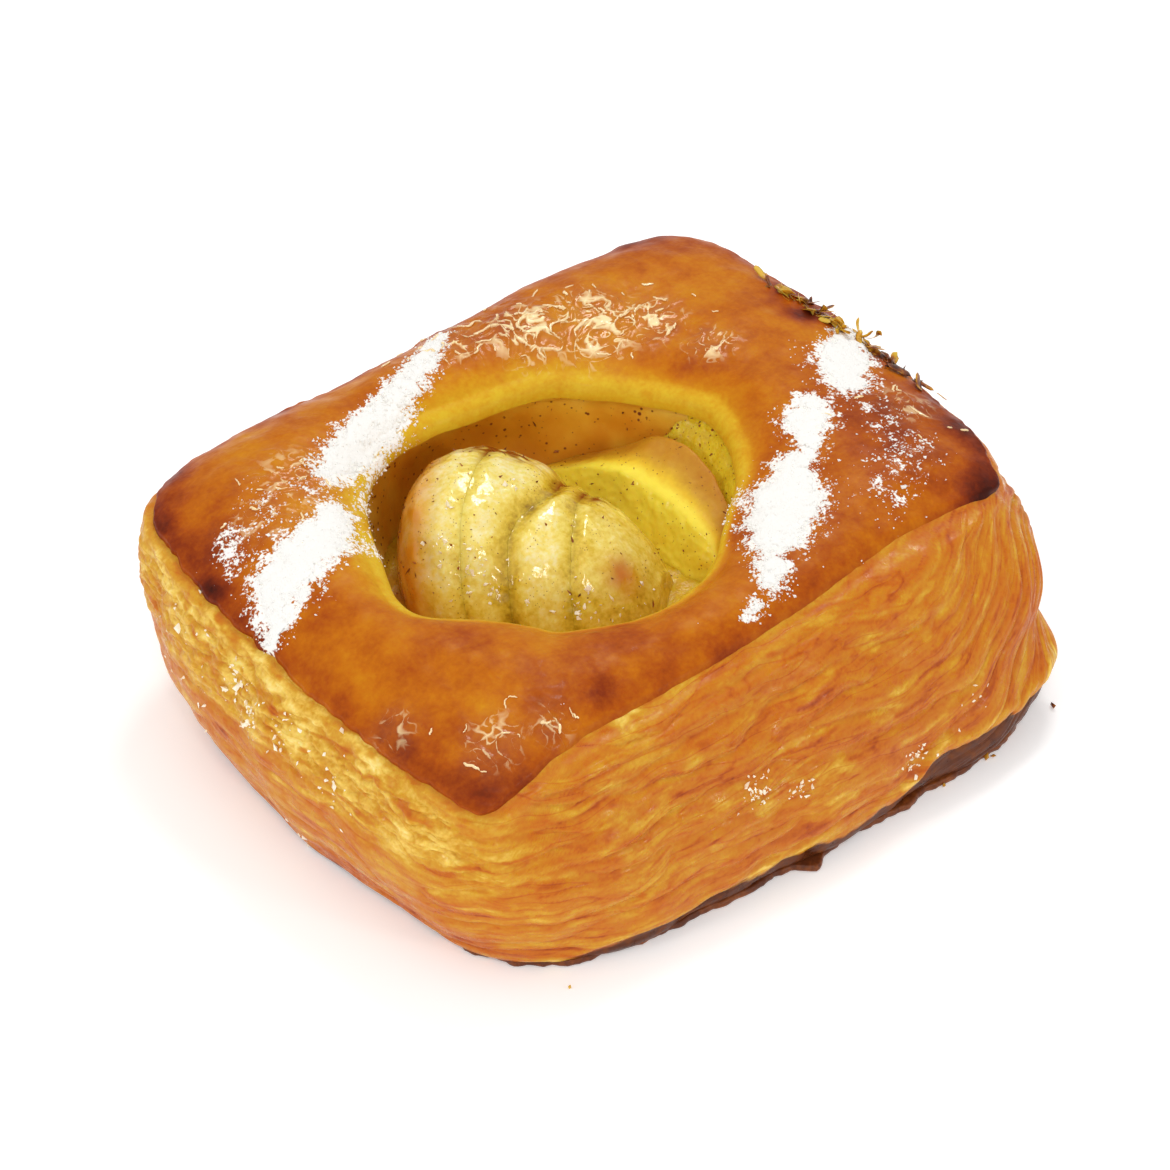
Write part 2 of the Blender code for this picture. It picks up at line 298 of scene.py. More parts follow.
# Where the glaze dried in wrinkles, and where the oven's heat caught the skin: (x, y, radius,
# strength).
WRINKLED = [
    (26, 33, 8, 1.0), (17, 38, 7, 1.0), (34, 28, 6, 0.9), (7, 43, 6, 0.8), (37, 17, 4.5, 0.8),
    (-33, 31, 8, 0.6), (-42, 27, 7, 0.5), (-45, -30, 5, 0.62), (-37, -33, 4, 0.5), (-53, -18, 4, 0.5),
    (50, -13, 6, 0.5), (43, -24, 6, 0.3),
]
SCORCHED = [
    (-56, -43, 5.5, 0.66), (-50, -38, 7, 0.20), (54, -37, 9, 0.60), (55, -20, 9, 0.22), (54, 14, 3, 0.45),
    (47, -12, 9, 0.18), (-54, 44, 9, 0.10), (-56, 30, 8, 0.14), (-57, 8, 9, 0.04), (-57, -24, 6, 0.12),
    (25, -33, 16, 0.10), (42, -14, 16, 0.14), (-44, -42, 7, 0.14), (48, 46, 9, 0.08), (-35, -29, 4.5, 0.22),
    (-28, -32.5, 4, 0.22), (-17, -35.5, 3.5, 0.16), (-8, -37.5, 3.5, 0.18), (56, 22, 4, 0.20),
]

TOP_COLUMNS, TOP_ROWS = 900, 108


def skin_border(turns):
    """Where the skin ends, walked from the foot: at the edge, but 5 mm inside it along -Y, and
    drooping over the front and right corners."""
    u, v = superellipse(turns, TOP_SQUARENESS)
    place = outline(turns, TOP_CORNERS, TOP_BOWS, TOP_SQUARENESS)
    inside = 5.2 * np.clip(-v, 0, 1) ** 14 * (1 - np.abs(u) ** 6)
    droop = 3.8 * hump(np.linalg.norm(place - TOP_CORNERS["front"], axis=1), 7.5)
    droop += 3.0 * hump(np.linalg.norm(place - TOP_CORNERS["right"], axis=1), 6.0)
    ragged = 0.8 * flat_noise(*place.T, 8.0, 3, 2) + 0.45 * flat_noise(*place.T, 1.9, 4)
    return EDGE_WALK - 1.2 + inside - droop + ragged * (1 - 0.7 * np.clip(-v, 0, 1) ** 14)


def crinkled(points):
    """Two bent noises, coarse and fine. The glaze's crinkles run where they are zero."""
    bent = points + 1.3 * np.stack([noise(points, 6.0, s) for s in (5, 6, 7)], -1)
    return noise(bent, 3.2, 8), noise(bent, 1.9, 10)


def top_relief(points, walk):
    """The skin's own unevenness along its normal: broad puffs with small lumps, and apart from
    them the wrinkles, which follow the crinkles' lines."""
    puffs = 0.85 * noise(points, 21.0, 1, 2) + 0.24 * noise(points, 5.5, 2, 2)
    coarse, fine = crinkled(points)
    wrinkles = hump(coarse, 0.14) + 0.7 * hump(fine, 0.18)
    glazed = spots(points, WRINKLED)
    calm = rise(LIP_WALK - walk, -1.0, 5.0)
    return puffs * (0.35 + 0.65 * calm), wrinkles * glazed * calm


turns = even_turns(TOP_COLUMNS)
border = skin_border(turns)
share = np.linspace(0.0, 1.0, TOP_ROWS)[:, None] ** 1.08
walk = border + (LIP_WALK + 4.2 - border) * share
form = on_dough(turns, walk)
from_border = walk - border
along_front = rise(-superellipse(turns, TOP_SQUARENESS)[1], 0.9, 0.99)
thickness = -0.95 + (1.4 - 0.35 * along_front) * rise(from_border, 0.0, 0.9 + 2.6 * along_front)
normal = facing(form)
puffs, wrinkles = top_relief(form, walk)
skin = form + normal * (puffs + 0.45 * wrinkles + thickness)[..., None]
around = np.arctan2(form[..., 1] - WELL[1], form[..., 0] - WELL[0])
from_lip = np.hypot(form[..., 0] - WELL[0], form[..., 1] - WELL[1]) - LIP_RADIUS - lip_bulge(around)
lip_wave = flat_noise(np.cos(around) * 3, np.sin(around) * 3, 1.0, 9, 2)
skin[..., 2] += 0.6 * lip_wave * hump(from_lip - 1.5, 4.0)

inward = walk - EDGE_WALK
mid_front = along_front * hump(form[..., 0] - 6.0, 24.0)
pale_width = 2.6 + 1.9 * np.cos(around - math.radians(80)).clip(-0.75, 1) + 1.2 * noise(form, 9.0, 13)
pale_width += 5.0 * hump(off(around, 168.0), 22.0)
pale = hump(np.maximum(from_lip - 0.6, 0.0), np.maximum(pale_width, 0.8))
browning = (
    0.44
    + (0.20 + 0.16 * noise(form, 7.0, 14)) * hump(inward - 0.5, 3.2) * (1 - 0.5 * mid_front)
    + spots(form, SCORCHED)
    + 0.16 * noise(form, 14.0, 11, 2)
    + 0.09 * noise(form, 4.0, 12, 2)
) * (1 - 0.9 * pale)

# Middle lines of the sugar, as (x, y, half width, thickness) points.
SUGAR_BANDS = [
    [(6, 46.5, 2.0, 0.8), (-1, 41.8, 2.8, 0.9), (-7, 39.5, 3.0, 0.9), (-12, 37, 3.2, 1.0),
     (-17, 35.5, 3.6, 1.0), (-22, 33, 3.8, 1.0), (-27, 31, 3.4, 0.9), (-29, 29, 2.6, 0.8)],
    [(-33, 22, 2.8, 0.9), (-38.5, 17.5, 4.2, 1.1), (-44, 16, 5.0, 1.1), (-48.5, 14, 4.8, 1.1),
     (-53, 10, 2.8, 0.9), (-55, 9, 1.8, 0.8)],
    [(-47.5, 28.5, 2.4, 0.62), (-50.5, 24, 2.6, 0.62)],
    [(-34, 29, 2.6, 0.5), (-32, 25, 2.8, 0.55)],
    [(58, 8, 2.6, 0.8), (51, 1.5, 4.6, 1.1), (47, -3.5, 3.8, 1.0), (44.5, -6.5, 2.2, 0.6)],
    [(38, -5, 3.0, 0.9), (35, -8, 4.0, 1.0), (32, -11, 3.0, 0.9)],
    [(31, -12, 3.4, 0.7), (26, -14, 3.6, 0.95), (21, -18.5, 5.6, 1.15), (14, -24, 4.4, 1.05),
     (11, -26.5, 3.0, 0.8)],
    [(8, -29.5, 3.0, 0.95), (5.5, -32, 2.2, 0.85)],
    [(1, -34, 1.5, 0.75), (-2, -35, 1.0, 0.6)],
    [(45, -11, 5.0, 0.46), (43, -22, 5.5, 0.46), (33, -27, 5.0, 0.48)],
    [(-33, 14, 3.0, 0.55), (-34, 22, 3.0, 0.50)],
    [(-40, 30, 5.0, 0.42), (-46, 24, 5.0, 0.44)],
    [(-19, 29, 2.4, 0.50), (-28, 23, 2.6, 0.50)],
]


def sugar_cover(points):
    """How thickly sugar lies, 0 to about 1: it falls with the distance to each band's middle line
    measured in the band's half widths."""
    cover = np.zeros(points.shape[:-1])
    for band in SUGAR_BANDS:
        for (x0, y0, w0, s0), (x1, y1, w1, s1) in zip(band, band[1:]):
            dx, dy = x1 - x0, y1 - y0
            t = np.clip(((points[..., 0] - x0) * dx + (points[..., 1] - y0) * dy) / (dx * dx + dy * dy), 0, 1)
            away = np.hypot(points[..., 0] - x0 - dx * t, points[..., 1] - y0 - dy * t)
            cover = np.maximum(cover, (s0 + (s1 - s0) * t) * hump(away / (w0 + (w1 - w0) * t), 1.35))
    return cover * (points[..., 2] > 27)


sugar = sugar_cover(form)
crinkle, fine_crinkle = crinkled(form)
masks = {
    "browning": np.clip(browning, 0, 1),
    "sugar": sugar,
    "crinkle": crinkle,
    "fine_crinkle": fine_crinkle,
    "glazed": spots(form, WRINKLED),
}
crust = surface("browned_top", skin, masks=masks)


def colour(red, green, blue):
    """Linear light from the 0 to 255 numbers of a colour picker."""
    scaled = np.array([red, green, blue]) / 255.0
    return (*np.where(scaled <= 0.04045, scaled / 12.92, ((scaled + 0.055) / 1.055) ** 2.4), 1.0)


def put(tree, kind, inputs={}, **settings):
    """Adds a node, sets its settings, and links or sets each named or numbered input."""
    node = tree.nodes.new("ShaderNode" + kind)
    for key, value in settings.items():
        setattr(node, key, value)
    for key, value in inputs.items():
        if isinstance(value, bpy.types.NodeSocket):
            tree.links.new(value, node.inputs[key])
        else:
            node.inputs[key].default_value = value
    return node


def ramp(tree, value, stops):
    """A colour ramp through stops of a position and a picker's red, green and blue."""
    node = put(tree, "ValToRGB", {"Fac": value})
    band = node.color_ramp
    while len(band.elements) < len(stops):
        band.elements.new(0.5)
    for element, (place, *shade) in zip(band.elements, stops):
        element.position, element.color = place, colour(*shade)
    return node.outputs["Color"]


def worked(tree, operation, first, second, clamped=False):
    """Two values put together by a Math node."""
    return put(tree, "Math", {0: first, 1: second}, operation=operation, use_clamp=clamped).outputs[0]


def over(tree, share, under, upper):
    """The upper colour laid over the one under it by a share."""
    return put(tree, "Mix", {0: share, 6: under, 7: upper}, data_type="RGBA").outputs[2]


def sums(tree, *terms):
    """The sum of (socket or number, factor) pairs."""
    total = 0.0
    for value, factor in terms:
        total = put(tree, "Math", {0: value, 1: factor, 2: total}, operation="MULTIPLY_ADD").outputs[0]
    return total


def grainy(tree, scale, detail):
    """Noise of 0 to 1 with so many features to the metre."""
    place = put(tree, "TexCoord").outputs["Object"]
    return put(tree, "TexNoise", {"Vector": place, "Scale": scale, "Detail": detail}).outputs[0]


def mask(tree, name):
    """A mask stored on the piece's points."""
    return put(tree, "Attribute", attribute_name=name).outputs["Fac"]


def line(tree, value, width):
    """1 where the value is zero, falling evenly to 0 at the width."""
    away = put(tree, "Math", {0: value}, operation="ABSOLUTE").outputs[0]
    share = worked(tree, "DIVIDE", away, width)
    return worked(tree, "SUBTRACT", 1.0, share, True)


def finish(name, roughness=0.5, gloss=0.3, soft=0.0, soft_radius=(1, 0.4, 0.15), soft_scale=0.002):
    """A material with its principled shader's constant values set on the shader's own sockets."""
    material = bpy.data.materials.new(name)
    material.use_nodes = True
    shader = material.node_tree.nodes["Principled BSDF"]
    shader.inputs["Roughness"].default_value = roughness
    shader.inputs["Specular IOR Level"].default_value = gloss
    shader.inputs["Subsurface Weight"].default_value = soft
    shader.inputs["Subsurface Radius"].default_value = soft_radius
    shader.inputs["Subsurface Scale"].default_value = soft_scale
    return material, material.node_tree, shader


def uneven(tree, shader, distance, strength, *terms):
    """Bumps of the terms' sum on a shader's surface."""
    bump = put(tree, "Bump", {"Height": sums(tree, *terms), "Distance": distance, "Strength": strength})
    tree.links.new(bump.outputs["Normal"], shader.inputs["Normal"])


def node_group(name, inputs, outputs):
    """An empty shader node group with float inputs (name: default) and float outputs."""
    group = bpy.data.node_groups.new(name, "ShaderNodeTree")
    for key, value in inputs.items():
        socket = group.interface.new_socket(key, in_out="INPUT", socket_type="NodeSocketFloat")
        socket.default_value = value
    for key in outputs:
        group.interface.new_socket(key, in_out="OUTPUT", socket_type="NodeSocketFloat")
    return group, group.nodes.new("NodeGroupInput"), group.nodes.new("NodeGroupOutput")


# Mottling in two sizes, in millimetres: cloudy patches and finer blotches, each about -0.5 to 0.5.
mottle, source, drain = node_group("mottle", {"Patch size": 4.0, "Blotch size": 0.8}, ["Patches", "Blotches"])
place = put(mottle, "TexCoord").outputs["Object"]
for size, detail, out in (("Patch size", 3.0, "Patches"), ("Blotch size", 2.0, "Blotches")):
    scale = worked(mottle, "DIVIDE", 1000.0, source.outputs[size])
    cloud = put(mottle, "TexNoise", {"Vector": place, "Scale": scale, "Detail": detail, "Roughness": 0.55})
    centred = worked(mottle, "ADD", cloud.outputs[0], -0.5)
    mottle.links.new(centred, drain.inputs[out])

# Specks: the dark middles of scattered cells, where a slower noise lets them gather.
specks, source, drain = node_group("specks", {"Size": 1.0, "Amount": 0.5}, ["Mask"])
place = put(specks, "TexCoord").outputs["Object"]
scale = worked(specks, "DIVIDE", 1000.0, source.outputs["Size"])
cells = put(specks, "TexVoronoi", {"Vector": place, "Scale": scale, "Randomness": 1.0})
cloud = put(specks, "TexNoise", {"Vector": place, "Scale": 260.0, "Detail": 2.0}).outputs[0]
reach = sums(specks, (cloud, 0.5), (source.outputs["Amount"], 0.5), (-0.32, 1.0))
edge = worked(specks, "SUBTRACT", reach, cells.outputs["Distance"])
sharp = worked(specks, "MULTIPLY", edge, 9.0, True)
specks.links.new(sharp, drain.inputs["Mask"])


def use(tree, group, **inputs):
    """Places a node group with its inputs' values."""
    node = put(tree, "Group", node_tree=group)
    for key, value in inputs.items():
        node.inputs[key.replace("_", " ")].default_value = value
    return [socket for socket in node.outputs]


BAKED = [
    (0.00, 222, 184, 44), (0.12, 214, 158, 28), (0.26, 204, 130, 16), (0.42, 192, 106, 10),
    (0.58, 170, 78, 9), (0.74, 136, 50, 9), (0.88, 98, 30, 9), (1.00, 62, 18, 8),
]

glazed_crust, tree, shader = finish("glazed_crust", gloss=0.09, soft=0.08, soft_scale=0.0015)
shader.inputs["Coat Roughness"].default_value = 0.10
patches, blotches = use(tree, mottle, Patch_size=3.4, Blotch_size=0.8)
toasted = sums(tree, (mask(tree, "browning"), 1.0), (patches, 0.26), (blotches, 0.20))
baked = ramp(tree, toasted, BAKED)
grains = grainy(tree, 1900.0, 3.0)
clumps = grainy(tree, 420.0, 4.0)
dusted = sums(tree, (mask(tree, "sugar"), 1.25), (grains, 1.2), (clumps, 1.5), (-2.02, 1.0))
dusted = worked(tree, "MULTIPLY", dusted, 6.0, True)
broken = sums(tree, (clumps, 1.3), (mask(tree, "glazed"), 0.14), (-0.69, 1.0))
broken = worked(tree, "MAXIMUM", broken, 0.004)
# Painted highlights: in the glazed patches the crinkles' lines are painted pale cream over the crust's
# colour, and the patches get a faint painted sheen.
crinkles = [line(tree, mask(tree, name), broken) for name in ("crinkle", "fine_crinkle")]
crinkles = worked(tree, "MAXIMUM", *crinkles)
painted_sheen = worked(tree, "MULTIPLY", mask(tree, "glazed"), 0.08, True)
painted_sheen = over(tree, painted_sheen, baked, colour(236, 176, 96))
pooled = sums(tree, (mask(tree, "glazed"), 1.5), (-0.30, 1.0))
pooled = worked(tree, "MULTIPLY", pooled, 1.0, True)
dried_and_painted_light = worked(tree, "MULTIPLY", crinkles, pooled)
dried_and_painted_light = worked(tree, "MULTIPLY", dried_and_painted_light, 1.4, True)
painted_highlights = over(tree, dried_and_painted_light, painted_sheen, colour(255, 230, 176))
dressed = over(tree, dusted, painted_highlights, colour(252, 249, 244))
tree.links.new(dressed, shader.inputs["Base Color"])
sheen = sums(tree, (dusted, 0.5), (patches, 0.5), (mask(tree, "glazed"), -0.30), (0.42, 1.0))
sheen = worked(tree, "MAXIMUM", sheen, 0.10)
tree.links.new(sheen, shader.inputs["Roughness"])
pooled = sums(tree, (mask(tree, "glazed"), 1.0), (patches, 1.0), (dusted, -1.5), (-0.12, 1.0))
pooled = worked(tree, "MULTIPLY", pooled, 0.6, True)
tree.links.new(pooled, shader.inputs["Coat Weight"])
uneven(
    tree, shader, 0.0005, 0.35, (blotches, 0.25), (patches, 0.9), (grains, 0.03), (dusted, 0.4),
    (dried_and_painted_light, 0.5),
)
crust.data.materials.append(glazed_crust)
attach(crust, "root")
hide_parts("pastry_case")

# ==================================
# Dried glaze. Where apricot glaze ran together it dried to a skin of its own, which crinkled
# into short, curling ridges, shiny against the crust. Their pale cream colour is painted highlight.

random = np.random.default_rng(3)


def on_grid(grid, row, column):
    """A point of a closed grid between its rows and columns."""
    row, column = np.clip(row, 0, grid.shape[0] - 1.001), column % grid.shape[1]
    r, c = int(row), int(column)
    fr, fc = row - r, column - c
    ahead = (c + 1) % grid.shape[1]
    near = grid[r, c] * (1 - fc) + grid[r, ahead] * fc
    return near * (1 - fr) + (grid[r + 1, c] * (1 - fc) + grid[r + 1, ahead] * fc) * fr


def ridge(path, normals, width, height):
    """A rounded ridge along a path on a surface, thinning to nothing at both ends."""
    aside = unit(np.cross(normals, np.gradient(path, axis=0)))
    taper = np.sqrt(np.clip(1 - np.linspace(-1, 1, len(path)) ** 4, 0, 1))[:, None]
    rows = []
    for angle in np.linspace(0, math.tau, 6, endpoint=False):
        rows.append(path + taper * (aside * width * math.cos(angle) + normals * height * math.sin(angle)))
    return np.stack(rows, axis=1)


def joined(parts):
    """Several closed tubes of the same kind as one set of points and faces."""
    points, faces, start = [], [], 0
    for rows in parts:
        count, sides = rows.shape[:2]
        index = start + np.arange(count * sides).reshape(count, sides)
        ahead = np.roll(index, -1, axis=1)
        faces.append(np.stack([index[:-1], ahead[:-1], ahead[1:], index[1:]], -1).reshape(-1, 4))
        points.append(rows.reshape(-1, 3))
        start += count * sides
    return np.concatenate(points), np.concatenate(faces)


skin_normals = facing(skin)
# The crinkles' own noise and how it changes along the grid's rows and columns, per millimetre.
row_step = np.linalg.norm(np.gradient(skin, axis=0), axis=-1)
column_step = np.linalg.norm(np.roll(skin, -1, axis=1) - skin, axis=-1)
aside = (np.roll(crinkle, -1, axis=1) - crinkle) / column_step
slopes = np.stack([np.gradient(crinkle, axis=0) / row_step, aside, row_step, column_step], -1)
curls = []
for x, y, spread, amount in [
    (27, 33.0, 4.2, 34), (18, 37.5, 3.6, 30), (9, 42.5, 3.4, 20), (35, 28, 3.4, 10), (2, 45.5, 2.6, 5),
    (-32, 32, 3.5, 8), (-42, 27, 4.0, 6), (49, -13, 4.5, 10), (-43, -29, 3.5, 10), (-36, -32, 2.5, 4),
]:
    for _ in range(amount):
        place = np.array([x, y]) + random.normal(0, spread, 2)
        flat = np.hypot(skin[..., 0] - place[0], skin[..., 1] - place[1]) + 9.0 * np.abs(crinkle)
        row, column = np.unravel_index(np.argmin(flat + 50 * (walk > LIP_WALK - 2)), flat.shape)
        row, column, way = float(row), float(column), random.choice([-1.0, 1.0])
        path, normals = [], []
        for _ in range(int(random.triangular(5, 7, 20))):
            path.append(on_grid(skin, row, column))
            normals.append(on_grid(skin_normals, row, column))
            down, aside, along, across = on_grid(slopes, row, column)
            steep = math.hypot(down, aside) + 1e-6
            row += way * (0.20 * aside / steep + random.normal(0, 0.07)) / along
            row = min(max(row, 1.0), TOP_ROWS - 2.0)
            column -= way * (0.20 * down / steep + random.normal(0, 0.07)) / across
        path, normals = np.array(path), np.array(normals)
        width, height = random.triangular(0.06, 0.11, 0.30), random.uniform(0.10, 0.20)
        curls.append(ridge(path + normals * 0.08, normals, width, height))
dried_glaze = solid("dried_glaze", *joined(curls))
painted_highlight_glaze, tree, shader = finish("painted_highlight_glaze", roughness=0.08, gloss=0.8)
# Painted highlight: the ridges are coloured pale cream.
shader.inputs["Base Color"].default_value = colour(252, 222, 168)
dried_glaze.data.materials.append(painted_highlight_glaze)
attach(dried_glaze, "root")

# ==================================
# The well's wall. Soft dough under the lip, stained by the filling: smooth, ochre to orange and
# a little translucent, smeared with custard and flecked with cinnamon. Its colour darkens with
# depth below the lip as painted shade, and its left side is painted lighter as painted light.

WALL_COLUMNS, WALL_ROWS = 480, 70

turns = even_turns(WALL_COLUMNS)
walk = np.linspace(LIP_WALK + 3.2, FLOOR_WALK, WALL_ROWS)[:, None]
form = on_dough(turns, walk)
around = np.arctan2(form[..., 1] - WELL[1], form[..., 0] - WELL[0])
folds = 0.45 * noise(form, 9.0, 21, 2) + 0.10 * noise(form, 2.2, 22)
depth = rise(31.5 - form[..., 2], 0.0, 5.0)
wall = form + facing(form) * (folds * rise(33.0 - form[..., 2], 0.0, 3.0) - 0.15)[..., None]
smears = noise(form * (1, 1, 0.45), 5.0, 23, 2)
# Painted shade and light: darker with depth below the lip, lighter on the left side; the smears are real
# stains.
stain_and_painted_shade = 0.34 + 0.36 * depth + 0.26 * smears - 0.70 * rise(-np.cos(around), 0.2, 0.9)
stain_and_painted_shade -= 0.08 * hump(np.degrees(around) - 25.0, 35.0)
well_wall = surface("well_wall", wall, masks={"stain_and_painted_shade": np.clip(stain_and_painted_shade, 0, 1)})
soft_dough, tree, shader = finish("soft_dough", roughness=0.35, soft=0.25, soft_radius=(1, 0.5, 0.12))
patches, blotches = use(tree, mottle, Patch_size=5.0, Blotch_size=1.0)
speckled = use(tree, specks, Size=1.3, Amount=0.50)[0]
tone = sums(tree, (mask(tree, "stain_and_painted_shade"), 1.0), (patches, 0.25), (blotches, 0.12))
dough = ramp(tree, tone, [
    (0.0, 240, 200, 84), (0.3, 226, 168, 46), (0.6, 212, 138, 26), (1.0, 196, 114, 20),
])
dotted = over(tree, speckled, dough, colour(120, 54, 18))
tree.links.new(dotted, shader.inputs["Base Color"])
uneven(tree, shader, 0.0004, 0.25, (patches, 0.8), (blotches, 0.4), (speckled, 0.2))
well_wall.data.materials.append(soft_dough)
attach(well_wall, "root")
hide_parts("pastry_case")

# ==================================
# The flaky sides. The cut edges of the leaves of dough that butter kept apart and steam pushed
# open: long, flat pillows with fine orange seams between them. The left side broke up into
# crumbly cells. The two strips meet at the left and right corners.

SIDE_COLUMNS, SIDE_ROWS = 640, 152


def scorched_foot(points):
    """How high the dark, baked foot of the sides reaches: about 1 mm, 3 to 4 mm along -Y, and up to
    9 mm there towards the right corner."""
    along_front = rise(points[..., 0], 12.0, 25.0) * rise(-points[..., 1], 34.0, 42.0)
    tongues = flat_noise(points[..., 0], points[..., 1], 7.0, 31, 2)
    on_front = rise(points[..., 0], -44.0, -34.0) * rise(-points[..., 1], 34.0, 42.0)
    return 0.7 + 2.8 * on_front + 4.5 * along_front + (0.7 + 0.6 * on_front) * tongues


def pillows(points, sizes, seed):
    """Noise stretched to the given sizes, and pillows between the places where it is zero: 0 in
    the seams and about 1 in their middles."""
    value = noise(points / np.array(sizes), 1.0, seed)
    return value, np.sqrt(np.minimum(np.abs(value) * 1.8, 1.0))


def flaky_strip(name, start, end):
    """One strip of the sides. Its layers follow the height, bent by noise and, towards the right
    corner, upwards; pillows of three sizes stand out along the normal. Three columns beyond each
    end, dropped at last, make the normals of both strips agree where they meet."""
    turns = even_turns(SIDE_COLUMNS, start, end, closed=False)
    turns = np.concatenate([2 * turns[0] - turns[3:0:-1], turns, 2 * turns[-1] - turns[-2:-5:-1]])
    u, v = superellipse(turns, TOP_SQUARENESS)
    on_left = (np.clip(-u, 0, 1) ** 12)[None, :]
    on_front = (np.clip(-v, 0, 1) ** 12)[None, :]
    border = skin_border(turns)
    walk = np.linspace(0.0, 1.0, SIDE_ROWS)[:, None] * (border + 2.4)
    form = on_dough(turns, walk)
    normal = facing(form, closed=False)
    up = unit(np.gradient(form, axis=0))
    from_border = border - walk

    crumbly = on_left * rise(0.8 * noise(form, 14.0, 30, 2) + 24.0 - from_border * 1.3, 0.0, 14.0)
    flow = form + 0.8 * np.stack([noise(form, 8.0, 32), noise(form, 8.0, 33), 0 * form[..., 2]], -1)
    flow[..., 2] += 2.6 * noise(form * (1, 1, 0.5), 26.0, 34) + 1.1 * noise(form * (1, 1, 0.5), 10.0, 47, 2)
    flow[..., 2] -= 0.030 * np.clip(form[..., 0] - 22.0, 0, None) ** 1.9 * rise(-form[..., 1], 20.0, 40.0)
    leaf, leaf_pillow = pillows(flow, (26.0, 26.0, 3.4), 35)
    fold, fold_pillow = pillows(flow, (11.0, 11.0, 1.3), 36)
    fibre = noise(flow * (0.16, 0.16, 1.0), 0.7, 37, 2)
    strength = 0.55 + 0.45 * noise(form, 12.0, 48)
    layered = 0.64 * (leaf_pillow - 0.6) + 0.15 * strength * (fold_pillow - 0.6) + 0.04 * fibre
    bent = form + 0.5 * np.stack([noise(form, 2.0, s) for s in (38, 39, 40)], -1)
    cell_pillow = pillows(bent, (6.5, 6.5, 1.7), 41)[1]
    crumb_pillow = pillows(bent, (3.4, 3.4, 0.9), 42)[1]
    grain_pillow = pillows(bent, (0.9, 0.9, 0.5), 43)[1]
    crumbled = 0.42 * (cell_pillow - 0.6) + 0.32 * (crumb_pillow - 0.6) + 0.10 * (grain_pillow - 0.6)
    crumbled += 0.4 * noise(bent * (0.5, 0.5, 1.0), 1.5, 56, 3)
    out = layered * (1 - crumbly) + crumbled * crumbly + 0.9 * noise(form * (1, 1, 0.6), 15.0, 44, 2)

    foot = scorched_foot(form)
    burnt = rise(foot - form[..., 2] + 0.5 * fibre + 0.4 * noise(form, 1.6, 54), -0.5, 0.4)
    rim = hump(form[..., 2] - foot - 1.3, 1.1)
    high_foot = rise(foot, 3.0, 6.0)
    out = out * (1 - 0.5 * rim) + (0.2 + 0.35 * high_foot) * rim - 0.6 * burnt * high_foot
    tucked = rise(-from_border, -1.6, 0.6)
    under_skin = rise(-from_border, -4.0, -0.5)
    out = out * (1 - under_skin) + top_relief(form, walk)[0] * under_skin - 0.5 * tucked
    droop = -0.45 * (leaf_pillow * (1 - crumbly) + cell_pillow * crumbly)
    droop = droop * rise(form[..., 2], 2.0, 6.0) * (1 - tucked)
    points = form + normal * out[..., None] + up * droop[..., None]
    points[..., 2] = np.maximum(points[..., 2], 0.15)

    seams = 0.5 * hump(leaf, 0.06) + hump(fold, 0.09) * rise(strength, 0.5, 0.9)
    patches = noise(flow * (0.35, 0.35, 1.0), 2.6, 45, 2)
    golden = rise(noise(flow * (0.3, 0.3, 1.0), 2.2, 49, 3), 0.10, 0.8)
    thread = hump(noise(flow * (0.14, 0.14, 1.0), 1.1, 53), 0.07)
    thread = thread + 0.6 * hump(noise(flow * (0.2, 0.2, 1.0), 0.6, 55), 0.10)
    streaks = rise(noise(flow * (0.12, 0.12, 1.0), 1.2, 46, 2), 0.40, 0.85)
    layers = 0.50 + 0.12 * seams + 0.12 * patches - 0.17 * golden + 0.08 * fibre + 0.22 * streaks
    layers += 0.12 * thread - 0.02 * on_left
    layers += 0.10 * noise(form, 22.0, 50) - 0.08 * hump(from_border, 3.5) * on_front
    layers += (0.02 + 0.24 * on_left) * rise(8.0 - form[..., 2], 0.0, 6.0)
    crumbs = 0.56 - 0.14 * cell_pillow - 0.12 * crumb_pillow - 0.10 * grain_pillow + 0.22 * patches
    crumbs += 0.20 * streaks + 0.26 * rise(noise(bent * (0.4, 0.4, 1.0), 1.6, 57, 2), 0.25, 0.9)
    crumbs -= 0.09 * rise(form[..., 2], 12.0, 24.0)
    tone = layers * (1 - crumbly) + crumbs * crumbly
    tone += 0.10 * hump(from_border, 0.8) - 0.16 * rim * (1 - burnt)
    masks = {"tone": np.clip(tone, 0, 1), "burnt": burnt, "layer": flow[..., 2], "leafy": 1 - 0.45 * crumbly}
    strip = surface(
        name, points[:, 3:-3], closed=False, masks={key: value[:, 3:-3] for key, value in masks.items()},
    )
    strip.data.materials.append(flaky_dough)
    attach(strip, "root")
    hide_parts("pastry_case")
    return points[:, 3:-3]


flaky_dough, tree, shader = finish("flaky_dough", gloss=0.22, soft=0.2, soft_radius=(1, 0.45, 0.1))
patches, blotches = use(tree, mottle, Patch_size=2.4, Blotch_size=0.6)
# Fine layers: a noise drawn out along them, over the plan position and the bent height.
place = put(tree, "TexCoord").outputs["Object"]
across = put(tree, "Mapping", {"Vector": place, "Scale": (48, 48, 0)}).outputs[0]
upwards = worked(tree, "MULTIPLY", mask(tree, "layer"), 0.50)
upwards = put(tree, "CombineXYZ", {"Z": upwards}).outputs[0]
layered = put(tree, "VectorMath", {0: across, 1: upwards}, operation="ADD").outputs[0]
drawn_out = {"Vector": layered, "Scale": 1.0, "Detail": 2.6, "Roughness": 0.52, "Distortion": 0.35}
lines = put(tree, "TexNoise", drawn_out)
centred = worked(tree, "ADD", lines.outputs[0], -0.5)
bounds = put(tree, "TexNoise", {"Vector": layered, "Scale": 0.9, "Detail": 1.0, "Roughness": 0.4})
bounds = worked(tree, "ADD", bounds.outputs[0], -0.47)
